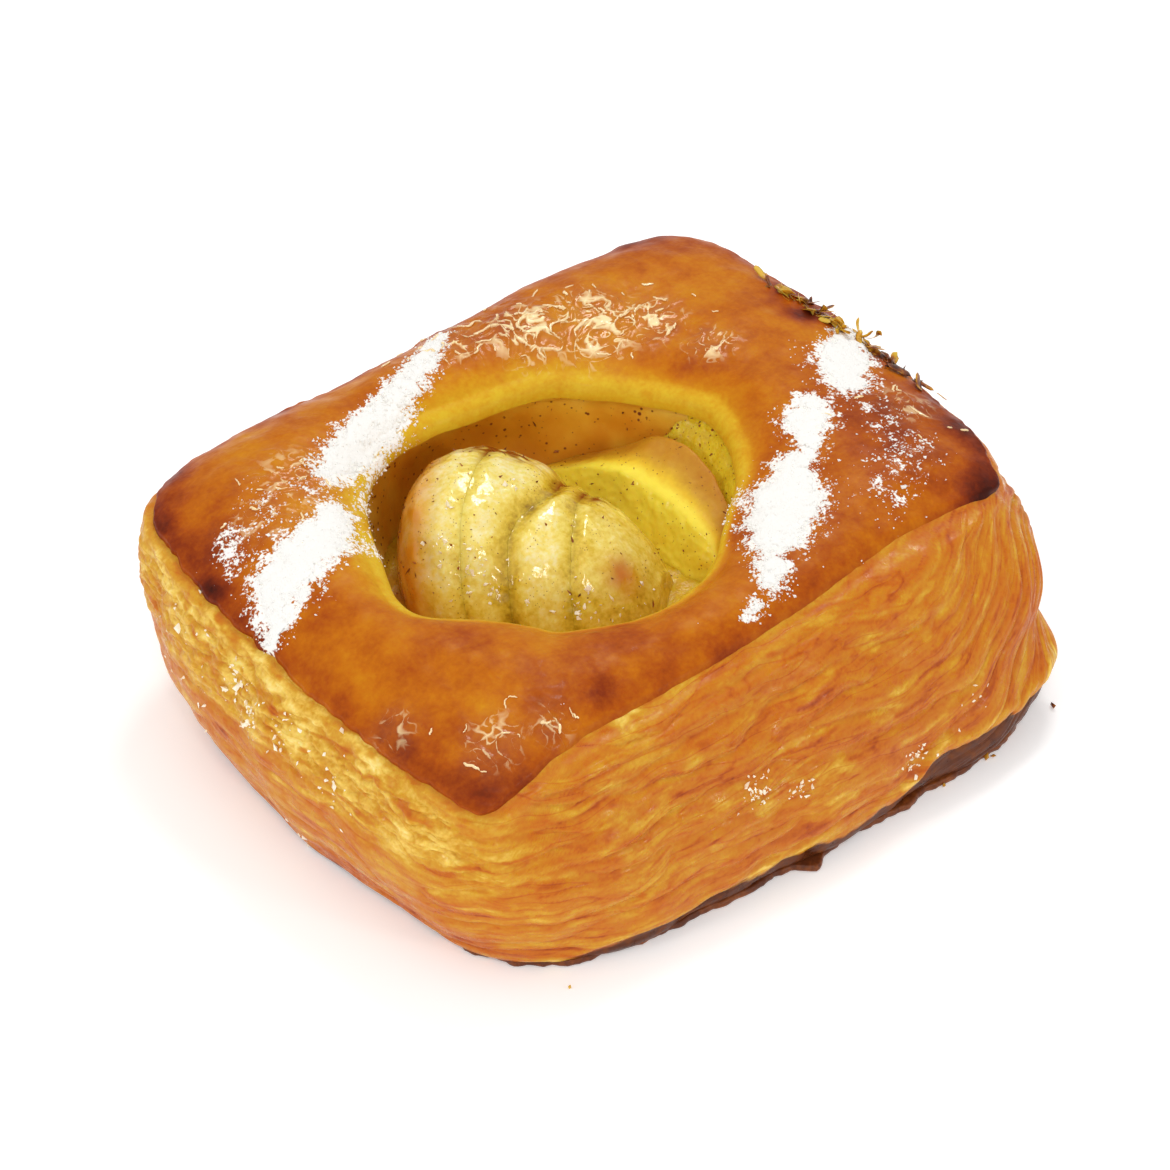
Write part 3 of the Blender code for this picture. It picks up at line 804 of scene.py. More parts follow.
seam = worked(tree, "MULTIPLY", line(tree, bounds, 0.018), mask(tree, "leafy"))
drawn = worked(tree, "MULTIPLY", centred, mask(tree, "leafy"))
tone = sums(
    tree, (mask(tree, "tone"), 1.0), (patches, 0.18), (blotches, 0.16), (drawn, 0.42), (seam, 0.13),
    (-0.02, 1.0),
)
leaves = ramp(tree, tone, [
    (0.00, 250, 228, 146), (0.14, 238, 200, 92), (0.30, 212, 157, 42), (0.46, 202, 127, 24),
    (0.62, 196, 104, 18), (0.80, 174, 76, 14), (1.00, 118, 46, 14),
])
charred = ramp(
    tree, sums(tree, (patches, 1.4), (0.5, 1.0)),
    [(0.0, 52, 22, 10), (0.5, 92, 44, 18), (1.0, 134, 74, 28)],
)
footed = over(tree, mask(tree, "burnt"), leaves, charred)
tree.links.new(footed, shader.inputs["Base Color"])
uneven(tree, shader, 0.0004, 0.25, (drawn, 1.6), (seam, -0.3), (blotches, 0.5))
sheen = sums(tree, (patches, 1.1), (lines.outputs[0], 0.25), (0.24, 1.0))
sheen = worked(tree, "MAXIMUM", sheen, 0.10)
tree.links.new(sheen, shader.inputs["Roughness"])

front_sides = flaky_strip("flaky_front_sides", math.radians(135), math.radians(315))
flaky_strip("flaky_rear_sides", math.radians(-45), math.radians(135))

# ==================================
# The baked base. The underside fried in its own butter on the tray: a hard, dark brown sheet
# with a ragged rim that shows as a thin line under the sides.

BASE_COLUMNS = 620
# The share of its radius at which a round grid begins, so that its middle is nearly closed.
POLE = 0.0005

turns = even_turns(BASE_COLUMNS)
base = outline(turns, BASE_CORNERS, BASE_BOWS, BASE_SQUARENESS)
out = unit(base - base.mean(axis=0))
ragged = 0.8 * flat_noise(*base.T, 6.0, 51, 2) + 0.5 * flat_noise(*base.T, 1.6, 52)
on_front = base[:, 1] < -40
tab = 2.4 * hump(base[:, 0] + 3.0, 2.0) * on_front - 0.6 * rise(base[:, 0], 8.0, 30.0) * on_front
tab -= 1.4 * rise(base[:, 1], -38.0, -24.0)
rim = base + out * (-0.9 + np.clip(ragged, -1.0, 1.2) + tab)[:, None]
middle = base.mean(axis=0)
rows = []
for share in np.linspace(POLE, 0.97, 40):
    flat = middle + (rim - middle) * share
    rows.append(np.column_stack([flat, 0.12 + 0.12 * flat_noise(*flat.T, 5.0, 53, 2)]))
for bend in np.linspace(0.0, math.pi, 9):
    lip = rim + out * (0.5 * math.sin(bend) - 0.2)
    rows.append(np.column_stack([lip, np.full(len(lip), 0.62 - 0.60 * math.cos(bend))]))
rows.append(np.column_stack([base - out * 5.0, np.full(len(base), 1.6)]))
rows = np.stack(rows)
rows[:, :, 2] = np.maximum(rows[:, :, 2], 0.0)
baked_base = surface("baked_base", rows)

fried_crust, tree, shader = finish("fried_crust", roughness=0.35)
patches, blotches = use(tree, mottle, Patch_size=4.0, Blotch_size=0.9)
tone = sums(tree, (patches, 1.2), (blotches, 0.5), (0.45, 1.0))
fried = ramp(tree, tone, [(0.0, 64, 28, 14), (0.4, 100, 48, 20), (0.7, 142, 76, 28), (1.0, 186, 118, 44)])
tree.links.new(fried, shader.inputs["Base Color"])
uneven(tree, shader, 0.0005, 0.7, (patches, 0.8), (blotches, 0.5))
baked_base.data.materials.append(fried_crust)
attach(baked_base, "root")
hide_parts("pastry_case")

# ==================================
# Loose flakes. Thin leaves that lifted off the rim and broke while it cooled: brittle ribbons,
# golden where they are one leaf thin and dark where the heat caught them.

random = np.random.default_rng(11)

flakes = []
# Where flakes stand: a point of the rim, the rim's direction there, the spread and how many.
for x, y, z, dx, dy, spread, amount in [
    (56.4, 20, 36.5, -0.1, 1.0, 2.0, 30), (56.8, 13, 36.3, 0.0, 1.0, 2.6, 32),
    (57.8, 6, 35.7, 0.0, 1.0, 2.6, 22), (58.0, -3, 35.0, 0.1, 1.0, 5.0, 20),
]:
    for _ in range(amount):
        away = random.normal(0, spread)
        place = np.array([x, y, z]) + np.array([dx, dy, 0]) * away
        place = place + random.normal(0, 0.5, 3) * (1.2, 1, 0.7)
        heading = np.array([dx, dy, 0]) * random.choice([-1, 1]) + random.normal(0, 0.16, 3)
        curl = random.normal(0, 0.07, 3)
        path = [place]
        for _ in range(9):
            heading = heading + curl + random.normal(0, 0.12, 3)
            path.append(path[-1] + heading / np.linalg.norm(heading) * random.uniform(0.15, 0.62))
        path = np.array(path)
        normal = random.normal(0, 1, 3) * 0.5 + (abs(dy) * 0.5, abs(dx) * 0.5, 0.9)
        normals = np.broadcast_to(normal / np.linalg.norm(normal), path.shape)
        flakes.append(ridge(path, normals, random.uniform(0.22, 0.95), random.uniform(0.05, 0.09)))
loose_flakes = solid("loose_flakes", *joined(flakes))
crisp_leaf, tree, shader = finish("crisp_leaf", roughness=0.3, soft=0.2, soft_scale=0.001)
patches, blotches = use(tree, mottle, Patch_size=5.0, Blotch_size=1.2)
tone = sums(tree, (patches, 4.0), (blotches, 0.8), (0.36, 1.0))
leaf = ramp(tree, tone, [(0.0, 220, 176, 60), (0.4, 196, 134, 34), (0.7, 120, 60, 22), (1.0, 66, 30, 14)])
tree.links.new(leaf, shader.inputs["Base Color"])
loose_flakes.data.materials.append(crisp_leaf)
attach(loose_flakes, "root")

# ==================================
# The custard. Piped into the well before baking: a smooth yellow pool round the apple's foot,
# dragged up the right wall, where it dried to a grainy, bright crust below the lip.

CUSTARD_LEVEL, POOL_RADIUS = 17.5, 24.5
BANK_HEIGHT, BANK_DIRECTION, BANK_SPREAD = 14.5, math.radians(-9.0), math.radians(31.0)
POOL_COLUMNS, POOL_ROWS = 480, 130

angles = np.linspace(0.0, math.tau, POOL_COLUMNS, endpoint=False)[None, :]
share = np.linspace(POLE, 1.0, POOL_ROWS)[:, None]
off_bank = (angles - BANK_DIRECTION + math.pi) % math.tau - math.pi
ragged = 0.10 * noise(np.stack([np.cos(angles) * 9, np.sin(angles) * 9, angles * 0], -1), 1.0, 61, 2)
bank = BANK_HEIGHT * np.exp(-((off_bank / BANK_SPREAD) ** 6)) * (1 + ragged)
climb = rise(share, 0.66, 1.0)
z = CUSTARD_LEVEL + bank * climb + 1.2 * rise(share, 0.86, 1.0)
outer = wall_radius(z) + wall_bulge(lip_bulge(angles), z)
r = POOL_RADIUS * np.minimum(share / 0.74, 1.0) + (outer - POOL_RADIUS + 0.1) * rise(share, 0.68, 0.98)
pool = np.stack([WELL[0] + r * np.cos(angles), WELL[1] + r * np.sin(angles), z + 0 * angles], -1)
dried_and_painted_light = climb * np.clip(bank / BANK_HEIGHT, 0, 1)
relief = 0.35 * noise(pool, 4.0, 62, 2) + dried_and_painted_light * (0.40 * noise(pool, 1.3, 63, 2) + 0.3)
pool = pool + facing(pool) * relief[..., None]
# Painted shade: the pool is painted brown on its left, near the wall, in the gap beside the apple.
painted_gap_shade = hump(off(angles, 165.0), 52.0) * rise(r, 14.0, 19.0) * (0.85 + 0.3 * noise(pool, 3.0, 64))
custard = surface("custard_pool", pool, masks={"dried_and_painted_light": dried_and_painted_light, "painted_gap_shade": np.clip(painted_gap_shade, 0, 1)})

set_custard, tree, shader = finish(
    "set_custard", roughness=0.25, gloss=0.3, soft=0.3, soft_radius=(1, 0.6, 0.12),
)
patches, blotches = use(tree, mottle, Patch_size=2.6, Blotch_size=0.6)
speckled = use(tree, specks, Size=1.0, Amount=0.50)[0]
tone = sums(tree, (mask(tree, "dried_and_painted_light"), 0.15), (patches, 0.8), (blotches, 0.5), (0.5, 1.0))
yellow = ramp(tree, tone, [
    (0.0, 190, 134, 18), (0.4, 212, 172, 30), (0.7, 230, 200, 44), (1.0, 242, 214, 58),
])
gap_shaded = over(tree, mask(tree, "painted_gap_shade"), yellow, colour(170, 102, 30))
dotted = over(tree, speckled, gap_shaded, colour(136, 74, 20))
tree.links.new(dotted, shader.inputs["Base Color"])
uneven(tree, shader, 0.0005, 0.3, (patches, 0.7), (blotches, 0.9))
custard.data.materials.append(set_custard)
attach(custard, "root")
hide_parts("custard")

# ==================================
# The halved apple. Peeled, stood on its cut face and sliced across; baking slumped the slices
# together. Pale cream flesh with cinnamon, browned along the slices' rims, wet with syrup.

ROW_TURN, SLICE_LEAN, APPLE_FOOT = math.radians(-50.0), math.radians(12.0), 16.6
# The halved apple's form across the row: where, half its length, its height, and its middle
# along the row.
APPLE_FORM = np.array([
    (-23.0, 8.0, 8.5, 2.0), (-21.4, 12.6, 13.2, 2.0), (-18.4, 16.2, 16.6, 2.2), (-14.0, 18.0, 18.4, 2.8),
    (-10.0, 18.7, 18.9, 3.2), (-6.4, 18.2, 18.2, 3.0), (-2.0, 17.2, 17.0, 2.4), (2.4, 16.2, 16.0, 1.6),
    (7.0, 14.4, 14.9, 0.2), (11.5, 12.0, 12.6, -0.8), (15.0, 8.8, 9.4, -1.2), (17.2, 5.0, 5.4, -1.4),
])
# Each cut across the row: where it is, how far it bends to the right towards the far end, and how
# deep and wide the groove along it is.
CUTS = [
    (-23.0, 0.0, 0.0, 1.0), (-10.5, 1.0, 0.5, 1.4), (-3.8, 5.0, 1.7, 1.9), (5.6, -0.4, 0.9, 1.7),
    (17.2, 0.0, 0.0, 1.0),
]
SLICES = ["apple_slice_1", "apple_slice_2", "apple_slice_3", "apple_slice_4"]
FACE_ROWS, BODY_ROWS, ARC_COLUMNS = 14, 84, 190


def smoothed(line, reach):
    """A line of values averaged under a bell that reaches so many places to each side."""
    bell = hump(np.linspace(-2, 2, 2 * reach + 1), 1.0)
    return np.convolve(np.pad(line, reach, mode="edge"), bell / bell.sum(), mode="valid")


fine = np.linspace(APPLE_FORM[0, 0], APPLE_FORM[-1, 0], 400)
APPLE_LINES = [smoothed(np.interp(fine, APPLE_FORM[:, 0], APPLE_FORM[:, i]), 15) for i in (1, 2, 3)]


def half_oval_slice(left_cut, right_cut):
    """A slice as a grid: its left face, the body's outside as half ovals that follow APPLE_LINES
    less a bell-shaped groove at each rim, and its right face, all leaning left as they rise. The
    grooves are at their deepest at the back and shallow towards the front foot."""
    arc = np.linspace(0.0, math.pi, ARC_COLUMNS)[None, :]
    bend = rise(2.2 - arc, 0.0, 1.0)
    begin, end = left_cut[0] + left_cut[1] * bend + 0.01, right_cut[0] + right_cut[1] * bend - 0.01
    share = np.concatenate([np.zeros(FACE_ROWS), np.linspace(0, 1, BODY_ROWS), np.ones(FACE_ROWS)])[:, None]
    station = begin + (end - begin) * share
    face = np.linspace(POLE, 1.0, FACE_ROWS, endpoint=False)
    size = np.concatenate([face, np.ones(BODY_ROWS), face[::-1]])[:, None]
    reach, top, along = (np.interp(station, fine, line) for line in APPLE_LINES)
    left, right = hump(station - begin, left_cut[3]), hump(station - end, right_cut[3])
    depth = (left_cut[2] * left + right_cut[2] * right) * (0.70 + 0.30 * rise(np.cos(arc), -0.9, 0.5))
    rough = np.stack([station, reach * np.cos(arc), top * np.sin(arc)], -1)
    lumps = 0.40 * noise(rough, 8.0, 65, 2) + 0.17 * noise(rough, 2.6, 66, 2)
    away = size * (reach - depth + lumps) * np.cos(arc)
    height = size * (top - depth + lumps) * np.sin(arc) ** 0.9
    across = station - math.tan(SLICE_LEAN) * height
    x = WELL[0] + across * math.cos(ROW_TURN) - (along + away) * math.sin(ROW_TURN)
    y = WELL[1] + across * math.sin(ROW_TURN) + (along + away) * math.cos(ROW_TURN)
    points = np.stack([x, y, APPLE_FOOT + height], -1)
    cut_left, cut_right = left_cut[2] > 0, right_cut[2] > 0
    at_rim = 0.6 * hump(station - begin, 0.6) * cut_left + hump(station - end, 0.8) * cut_right
    far = rise(np.cos(arc), 0.05, 0.5)
    browned_rim = rise(station, -15.0, -10.0) * rise(-station, 3.4, 4.6) + hump(station - 7.0, 1.6)
    browned_rim = hump(arc - 1.0, 0.14) * browned_rim
    edge = hump(np.maximum(station + 19.0, 0.0), 3.4) * (0.9 + 0.3 * noise(rough, 3.0, 69))
    masks = {
        "groove": np.clip(depth / 1.5 + 0.12 * cut_left * left + 0.12 * cut_right * right, 0, 1),
        "left_edge": np.clip(edge, 0, 1),
        "tip": np.clip(at_rim * far + browned_rim * (0.9 + 1.6 * noise(rough, 1.6, 70)), 0, 1),
        "low": 1 - rise(height, 2.0, 13.0),
        "shaded": rise(station, 3.0, 9.0),
    }
    return points, masks


BRUISE = np.array([-1.4, -6.8, 26.3])
apple_flesh, tree, shader = finish(
    "apple_flesh", roughness=0.12, gloss=0.5, soft=0.3, soft_radius=(1, 0.7, 0.25),
)
patches, blotches = use(tree, mottle, Patch_size=2.6, Blotch_size=0.75)
speckled = use(tree, specks, Size=0.6, Amount=0.42)[0]
# Painted shade: the grooves between the slices and the slices to the right are painted darker.
tone = sums(
    tree, (mask(tree, "groove"), 0.52), (mask(tree, "low"), 0.20), (mask(tree, "shaded"), 0.18),
    (patches, 0.75), (blotches, 0.60), (0.17, 1.0),
)
flesh = ramp(tree, tone, [
    (0.0, 246, 234, 174), (0.25, 240, 218, 108), (0.5, 224, 192, 62), (0.75, 190, 154, 32),
    (1.0, 130, 92, 20),
])
edged = over(tree, mask(tree, "left_edge"), flesh, colour(212, 136, 28))
tipped = over(tree, mask(tree, "tip"), edged, colour(136, 66, 18))
bruised = over(tree, mask(tree, "bruise"), tipped, colour(206, 122, 2))
dotted = over(tree, speckled, bruised, colour(150, 104, 40))
tree.links.new(dotted, shader.inputs["Base Color"])
uneven(tree, shader, 0.0004, 0.14, (patches, 0.8), (blotches, 0.6), (speckled, 0.1))

apple_tops = []
for name, left_cut, right_cut in zip(SLICES, CUTS, CUTS[1:]):
    points, masks = half_oval_slice(left_cut, right_cut)
    from_bruise = np.linalg.norm((points - BRUISE) * (1, 1, 0.6), axis=-1)
    masks["bruise"] = hump(from_bruise + 0.7 * noise(points, 2.0, 68), 2.5)
    apple_tops.append(points[FACE_ROWS:-FACE_ROWS, 20:-20].reshape(-1, 3))
    piece = surface(name + "_flesh", points, masks=masks)
    piece.data.materials.append(apple_flesh)
    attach(piece, "root")
    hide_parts(name)

# ==================================
# The wedge of apple that slid against the right wall: two flat cut faces that meet in a ridge,
# and a round back. The upper face is painted from yellow to ochre towards the wall as the lip's
# shade, and its ridge lighter as a painted highlight; the front one is wet with custard.

# Where each section lies along Y from the well's centre, its ridge (x, z), the top of its back
# (x, z), and how far forward its foot comes.
WEDGE = np.array([
    (-15.4, 18.6, 21.2, 21.2, 22.0, 17.4), (-13.6, 19.2, 23.2, 23.4, 24.6, 16.6),
    (-9.5, 19.7, 24.4, 25.8, 26.6, 15.9), (-3.5, 20.1, 25.0, 27.8, 28.2, 15.8),
    (3.0, 19.8, 25.4, 28.0, 29.6, 15.8), (8.0, 18.9, 25.6, 27.4, 28.8, 15.4),
    (13.0, 17.6, 24.2, 24.8, 25.4, 14.8), (17.5, 15.9, 22.2, 22.0, 22.2, 13.0),
    (21.5, 13.8, 20.2, 20.0, 20.2, 11.0), (24.5, 11.0, 18.6, 18.0, 18.6, 8.0),
])
WEDGE_ROWS, WEDGE_COLUMNS = 150, 180

y = np.linspace(WEDGE[0, 0], WEDGE[-1, 0], WEDGE_ROWS)
ridge_x, ridge_z, back_x, back_z, front = (
    smoothed(np.interp(y, WEDGE[:, 0], WEDGE[:, i]), 12) for i in range(1, 6)
)
foot = np.full(len(y), APPLE_FOOT)
corners = np.stack([
    np.stack([front, foot], -1),
    np.stack([front + 0.5, foot + 1.6], -1),
    np.stack([ridge_x, ridge_z], -1),
    np.stack([back_x, back_z], -1),
    np.stack([back_x + 0.5, (back_z + foot) / 2], -1),
    np.stack([back_x - 0.5, foot], -1),
], axis=1)
corners = np.concatenate([corners, corners[:, :1]], axis=1)
steps = np.linspace(0, 6, WEDGE_COLUMNS + 1)[:-1]
low = steps.astype(int)
share = (steps - low)[None, :, None]
ring = corners[:, low] * (1 - share) + corners[:, low + 1] * share
soften = hump(np.arange(-4, 5), 2.2)
soften /= soften.sum()
ring = sum(weight * np.roll(ring, shift, axis=1) for weight, shift in zip(soften, range(-4, 5)))
end_size = np.sqrt(np.clip(1 - (2 * np.linspace(0, 1, len(y)) - 1) ** 14, 0, 1))[:, None, None]
middle = ring.mean(axis=1, keepdims=True)
ring = middle + (ring - middle) * end_size
beside = np.broadcast_to(y[:, None], ring.shape[:2])
points = np.stack([WELL[0] + ring[..., 0], WELL[1] + beside, ring[..., 1]], -1)
steps = steps[None, :]
top_face = rise(steps, 1.95, 2.1) * (1 - rise(steps, 3.1, 3.4))
# Painted highlight: the ridge is painted lighter.
painted_crest_highlight = hump(steps - 2.0, 0.22)
relief = 0.3 * noise(points, 6.0, 85, 2) + (0.10 + 0.14 * (1 - top_face)) * noise(points, 1.7, 86, 2)
points = points + facing(points) * relief[..., None]
wedge_top = points[np.broadcast_to((steps > 1.2) & (steps < 3.0), points.shape[:2])]
# Painted shade: the upper face darkens towards the wall, under the lip, a little less at the far end.
dried_and_painted_light = top_face * (0.76 * rise(steps, 1.95, 2.8) - 0.14 * rise(y, 16.0, 22.0)[:, None])
wedge = surface("apple_slice_5_flesh", points, masks={"top_face": top_face, "painted_crest_highlight": painted_crest_highlight, "dried_and_painted_light": dried_and_painted_light})

wedge_flesh, tree, shader = finish("wedge_flesh", gloss=0.3, soft=0.3, soft_radius=(1, 0.6, 0.15))
patches, blotches = use(tree, mottle, Patch_size=4.0, Blotch_size=0.8)
speckled = use(tree, specks, Size=0.8, Amount=0.44)[0]
tone = sums(
    tree, (mask(tree, "dried_and_painted_light"), 1.0), (mask(tree, "painted_crest_highlight"), -0.20), (patches, 0.35), (blotches, 0.2),
    (0.06, 1.0),
)
flesh = ramp(tree, tone, [
    (0.0, 255, 232, 74), (0.3, 238, 198, 42), (0.6, 208, 156, 32), (0.8, 198, 138, 26), (1.0, 188, 116, 22),
])
dotted = over(tree, speckled, flesh, colour(150, 86, 26))
tree.links.new(dotted, shader.inputs["Base Color"])
dulled = sums(tree, (mask(tree, "top_face"), 0.30), (patches, 0.4), (0.18, 1.0))
tree.links.new(dulled, shader.inputs["Roughness"])
uneven(tree, shader, 0.0004, 0.2, (patches, 0.5), (blotches, 0.4))
wedge.data.materials.append(wedge_flesh)
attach(wedge, "root")
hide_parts("apple_slice_5")

# ==================================
# Powdered sugar. Sifted over the left and right of the top in two bands: a thin, matt layer with
# crumbling edges, and loose grains and clumps scattered round it.

torn = sugar_cover(skin) + 0.26 * noise(skin, 2.4, 91, 3) + 0.16 * noise(skin, 0.9, 92)
lift = -0.10 + 0.30 * rise(torn, 0.62, 0.95) + 0.10 * noise(skin, 0.8, 93, 2) * rise(torn, 0.66, 0.8)
layer = skin + facing(skin) * lift[..., None]
sugar_layer = surface("sugar_layer", layer, keep=torn > 0.66)

icing_sugar, tree, shader = finish(
    "icing_sugar", roughness=0.9, soft=0.2, soft_radius=(1, 1, 1), soft_scale=0.0006,
)
shader.inputs["Base Color"].default_value = colour(252, 250, 246)
grain = grainy(tree, 2600.0, 3.0)
bump = put(tree, "Bump", {"Height": grain, "Distance": 0.0003, "Strength": 0.7})
tree.links.new(bump.outputs["Normal"], shader.inputs["Normal"])
sugar_layer.data.materials.append(icing_sugar)
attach(sugar_layer, "root")

random = np.random.default_rng(7)
OCTAHEDRON = np.array([(1, 0, 0), (-1, 0, 0), (0, 1, 0), (0, -1, 0), (0, 0, 1), (0, 0, -1)], float)
OCTAHEDRON_FACES = np.array([
    (0, 2, 4), (2, 1, 4), (1, 3, 4), (3, 0, 4), (2, 0, 5), (1, 2, 5), (3, 1, 5), (0, 3, 5),
])


def scattered(name, places, sizes, shape=(1.0, 1.0, 1.0)):
    """Small uneven lumps, one at each place: octahedra stretched to a shape, with every corner
    moved at random, and turned at random. None reaches below the table."""
    count = len(places)
    shapes = OCTAHEDRON[None] * random.uniform(0.6, 1.25, (count, 6, 1))
    shapes = shapes + random.uniform(-0.2, 0.2, (count, 6, 3))
    spin = np.linalg.qr(random.normal(size=(count, 3, 3)))[0]
    shapes = (shapes * np.array(shape)) @ spin * sizes[:, None, None]
    flipped = np.linalg.det(spin) < 0
    faces = OCTAHEDRON_FACES[None] + 6 * np.arange(count)[:, None, None]
    faces[flipped] = faces[flipped][..., ::-1]
    corners = (places[:, None] + shapes).reshape(-1, 3)
    corners[:, 2] = np.maximum(corners[:, 2], 0.02)
    return solid(name, corners, faces.reshape(-1, 3), smooth=False)


def some(places, count):
    """So many of the places, picked at random."""
    return places[random.choice(len(places), count)]


def near(points, places):
    """Points picked at random near each place: (x, y, z, spread, amount)."""
    points = points.reshape(-1, 3)
    picked = []
    for x, y, z, spread, amount in places:
        weight = hump(np.linalg.norm(points - (x, y, z), axis=1), spread)
        picked.append(points[random.choice(len(points), amount, p=weight / weight.sum())])
    return np.concatenate(picked)


LOOSE_GRAINS = 11000

chance = (np.clip(torn - 0.20, 0, 0.6) ** 1.8).reshape(-1)
picked = random.choice(chance.size, LOOSE_GRAINS, p=chance / chance.sum())
on_top = skin.reshape(-1, 3)[picked] + random.normal(0, 0.16, (LOOSE_GRAINS, 3)) * (1, 1, 0.1)
apple_top = np.concatenate(apple_tops)
wall_side = wall[6:40][np.broadcast_to(np.cos(around[0]) < -0.5, wall[6:40].shape[:2])]
on_wall = some(wall_side, 130)
places = np.concatenate([on_top, on_wall])
sizes = random.gamma(3.5, 0.042, len(places)).clip(0.06, 0.45)
sugar_grains = scattered("sugar_grains", places, sizes)
sugar_grains.data.materials.append(icing_sugar)
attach(sugar_grains, "root")

# Drops of glaze that ran onto the sides and over the apple; their near-white colour is painted glints.
on_sides = near(front_sides, [
    (-12, -50, 18, 1.8, 46), (-5, -51, 15, 1.3, 26), (18, -52, 9.5, 1.8, 30), (30, -52, 14, 2.4, 8),
    (-58, 6.5, 21, 2.0, 40), (-57, 12, 24, 2.4, 30), (-57, 0, 22, 3.0, 24), (-55, -1, 3, 1.4, 16),
    (-56, -12, 20, 5.0, 22), (-57, 24, 20, 8.0, 26),
])
on_apple = near(apple_top, [
    (-17.8, 2.4, 26, 0.8, 9), (-15.5, -1.3, 25, 0.6, 6), (-15.8, 15.7, 32, 0.8, 6),
    (-19.4, 13.3, 29, 1.0, 8), (-20.0, 8.0, 28, 4.0, 44), (-5.2, 14.2, 35, 1.4, 6),
    (-9.0, -7.0, 24, 3.5, 26), (-2.0, -8.5, 22, 3.0, 12),
])
places = np.concatenate([on_sides, on_apple])
sizes = random.gamma(2.6, 0.14, len(places)).clip(0.12, 0.95)
glaze_drops = scattered("glaze_drops", places, sizes, (1.0, 0.8, 0.4))
painted_glint_glaze, tree, shader = finish("painted_glint_glaze", roughness=0.06, gloss=0.9)
shader.inputs["Base Color"].default_value = colour(255, 244, 218)
glaze_drops.data.materials.append(painted_glint_glaze)
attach(glaze_drops, "root")

# ==================================
# Cinnamon and crumbs. Ground cinnamon was shaken over the filling and clung to the well's wall:
# thin dark flecks. A few golden crumbs of crust lie at the foot.

on_apple = np.concatenate([some(apple_top, 150), some(apple_tops[0], 90)])
all_wall = wall[4:44].reshape(-1, 3)
on_wall = some(all_wall, 260)
on_left = some(wall_side, 120)
strip = pool[-26:-2][np.broadcast_to(np.abs(off_bank) < 0.5, pool[-26:-2].shape[:2])]
on_strip = some(strip, 120)
on_wedge = some(wedge_top, 60)
places = np.concatenate([on_apple, on_wall, on_left, on_strip, on_wedge])
sizes = random.gamma(3.0, 0.05, len(places)).clip(0.07, 0.42)
cinnamon = scattered("cinnamon", places, sizes, (2.0, 0.75, 0.5))
ground_bark, tree, shader = finish("ground_bark", roughness=0.5)
patches, blotches = use(tree, mottle, Patch_size=3.0, Blotch_size=0.8)
tone = sums(tree, (patches, 2.0), (0.5, 1.0))
bark = ramp(tree, tone, [(0.0, 96, 44, 12), (1.0, 176, 100, 34)])
tree.links.new(bark, shader.inputs["Base Color"])
cinnamon.data.materials.append(ground_bark)
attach(cinnamon, "root")

places = np.array([
    (33.4, -51.6, 0.5), (34.4, -52.0, 0.4), (49.6, -49.5, 0.5), (24.0, -52.0, 0.3), (-47.0, -49.0, 0.3),
])
crumbs = scattered("crumbs", places, np.array([0.7, 0.45, 0.6, 0.35, 0.3]), (1.3, 0.9, 0.6))
crumbs.data.materials.append(crisp_leaf)
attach(crumbs, "root")

# ==================================
# The table, the lights and the camera: a plain white surface, a large soft light above and
# behind the left side, a weaker one in front, and even light from all round.

HALF_TABLE = 3.0

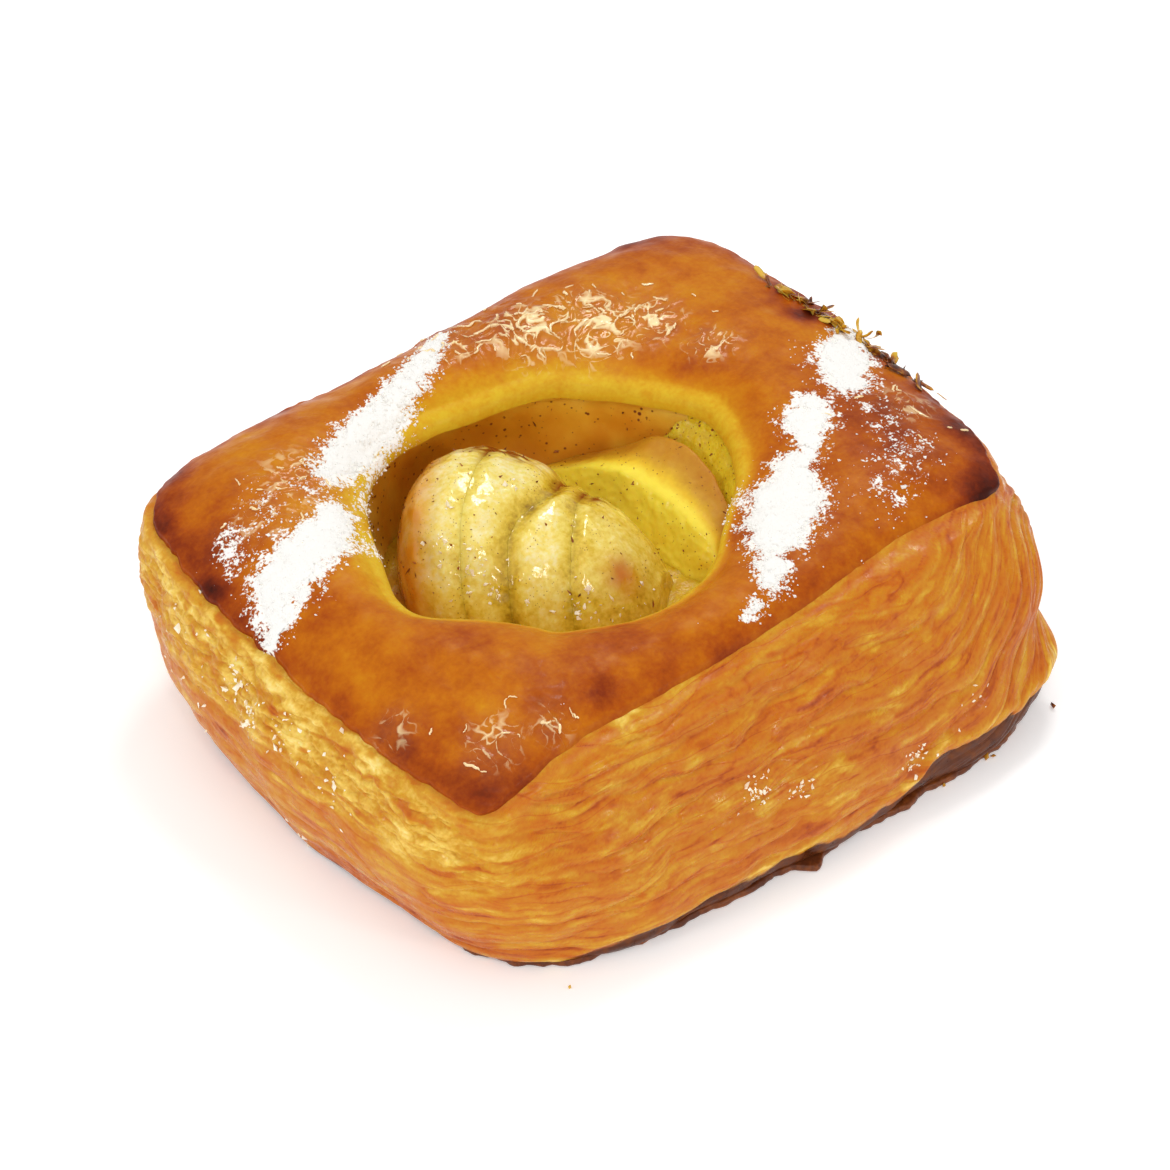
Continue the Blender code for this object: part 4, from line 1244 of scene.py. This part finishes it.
table_corners = [(HALF_TABLE * x, HALF_TABLE * y, 0) for x, y in ((-1, -1), (1, -1), (1, 1), (-1, 1))]
floor_mesh = bpy.data.meshes.new("table_top")
floor_mesh.from_pydata(table_corners, [], [(0, 1, 2, 3)])
floor = bpy.data.objects.new("table_top", floor_mesh)
bpy.context.scene.collection.objects.link(floor)
white_table, tree, shader = finish("white_table", roughness=0.8)
shader.inputs["Base Color"].default_value = (0.93, 0.94, 0.96, 1)
shader.inputs["Emission Color"].default_value = (1.0, 0.98, 0.96, 1)
shader.inputs["Emission Strength"].default_value = 0.24
floor.data.materials.append(white_table)
floor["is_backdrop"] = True

world = bpy.data.worlds.new("studio")
world.use_nodes = True
world.node_tree.nodes["Background"].inputs["Color"].default_value = (1.0, 1.0, 1.0, 1)
world.node_tree.nodes["Background"].inputs["Strength"].default_value = 0.62
bpy.context.scene.world = world


def aimed(thing, place, target):
    """Puts the thing at a place and turns its -Z axis towards the target."""
    back = unit(np.array(place, float) - np.array(target, float))
    right = unit(np.cross((0, 0, 1), back))
    up = np.cross(back, right)
    turned = [[right[i], up[i], back[i], place[i]] for i in range(3)] + [[0, 0, 0, 1]]
    thing.matrix_world = Matrix(turned)
    bpy.context.scene.collection.objects.link(thing)


for name, place, size, power in (
    ("key_light", (0.56, 0.42, 1.08), 0.30, 4.0),
    ("soft_box", (-0.15, 0.10, 1.05), 1.0, 1.4),
    ("front_lamp", (-0.46, -0.60, 0.95), 0.18, 1.6),
    ("low_lamp", (-0.74, -0.90, 0.30), 0.16, 0.8),
    ("left_lamp", (-1.10, 0.15, 0.50), 0.18, 1.8),
    ("right_lamp", (0.35, -1.15, 0.50), 0.16, 1.6),
):
    light = bpy.data.lights.new(name, "AREA")
    light.shape, light.size, light.energy = "SQUARE", size, power
    light.color = (1.0, 0.98, 0.94)
    aimed(bpy.data.objects.new(name, light), place, (0, 0, 0.02))

VIEW_TURN, VIEW_RISE, VIEW_DISTANCE = math.radians(-40.0), math.radians(39.0), 0.665
target = np.array([0.00012, 0.0037, 0.0171])
away = np.array([
    math.sin(VIEW_TURN) * math.cos(VIEW_RISE), -math.cos(VIEW_TURN) * math.cos(VIEW_RISE),
    math.sin(VIEW_RISE),
])
lens = bpy.data.cameras.new("camera")
lens.lens, lens.sensor_width, lens.clip_start = 133.5, 36.0, 0.01
camera = bpy.data.objects.new("camera", lens)
aimed(camera, target + away * VIEW_DISTANCE, target)
bpy.context.scene.camera = camera
bpy.context.scene.view_settings.view_transform = "Standard"

sizes = {"cad": [list(corner) for corner in cad_box], "visual": [list(corner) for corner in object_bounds()]}
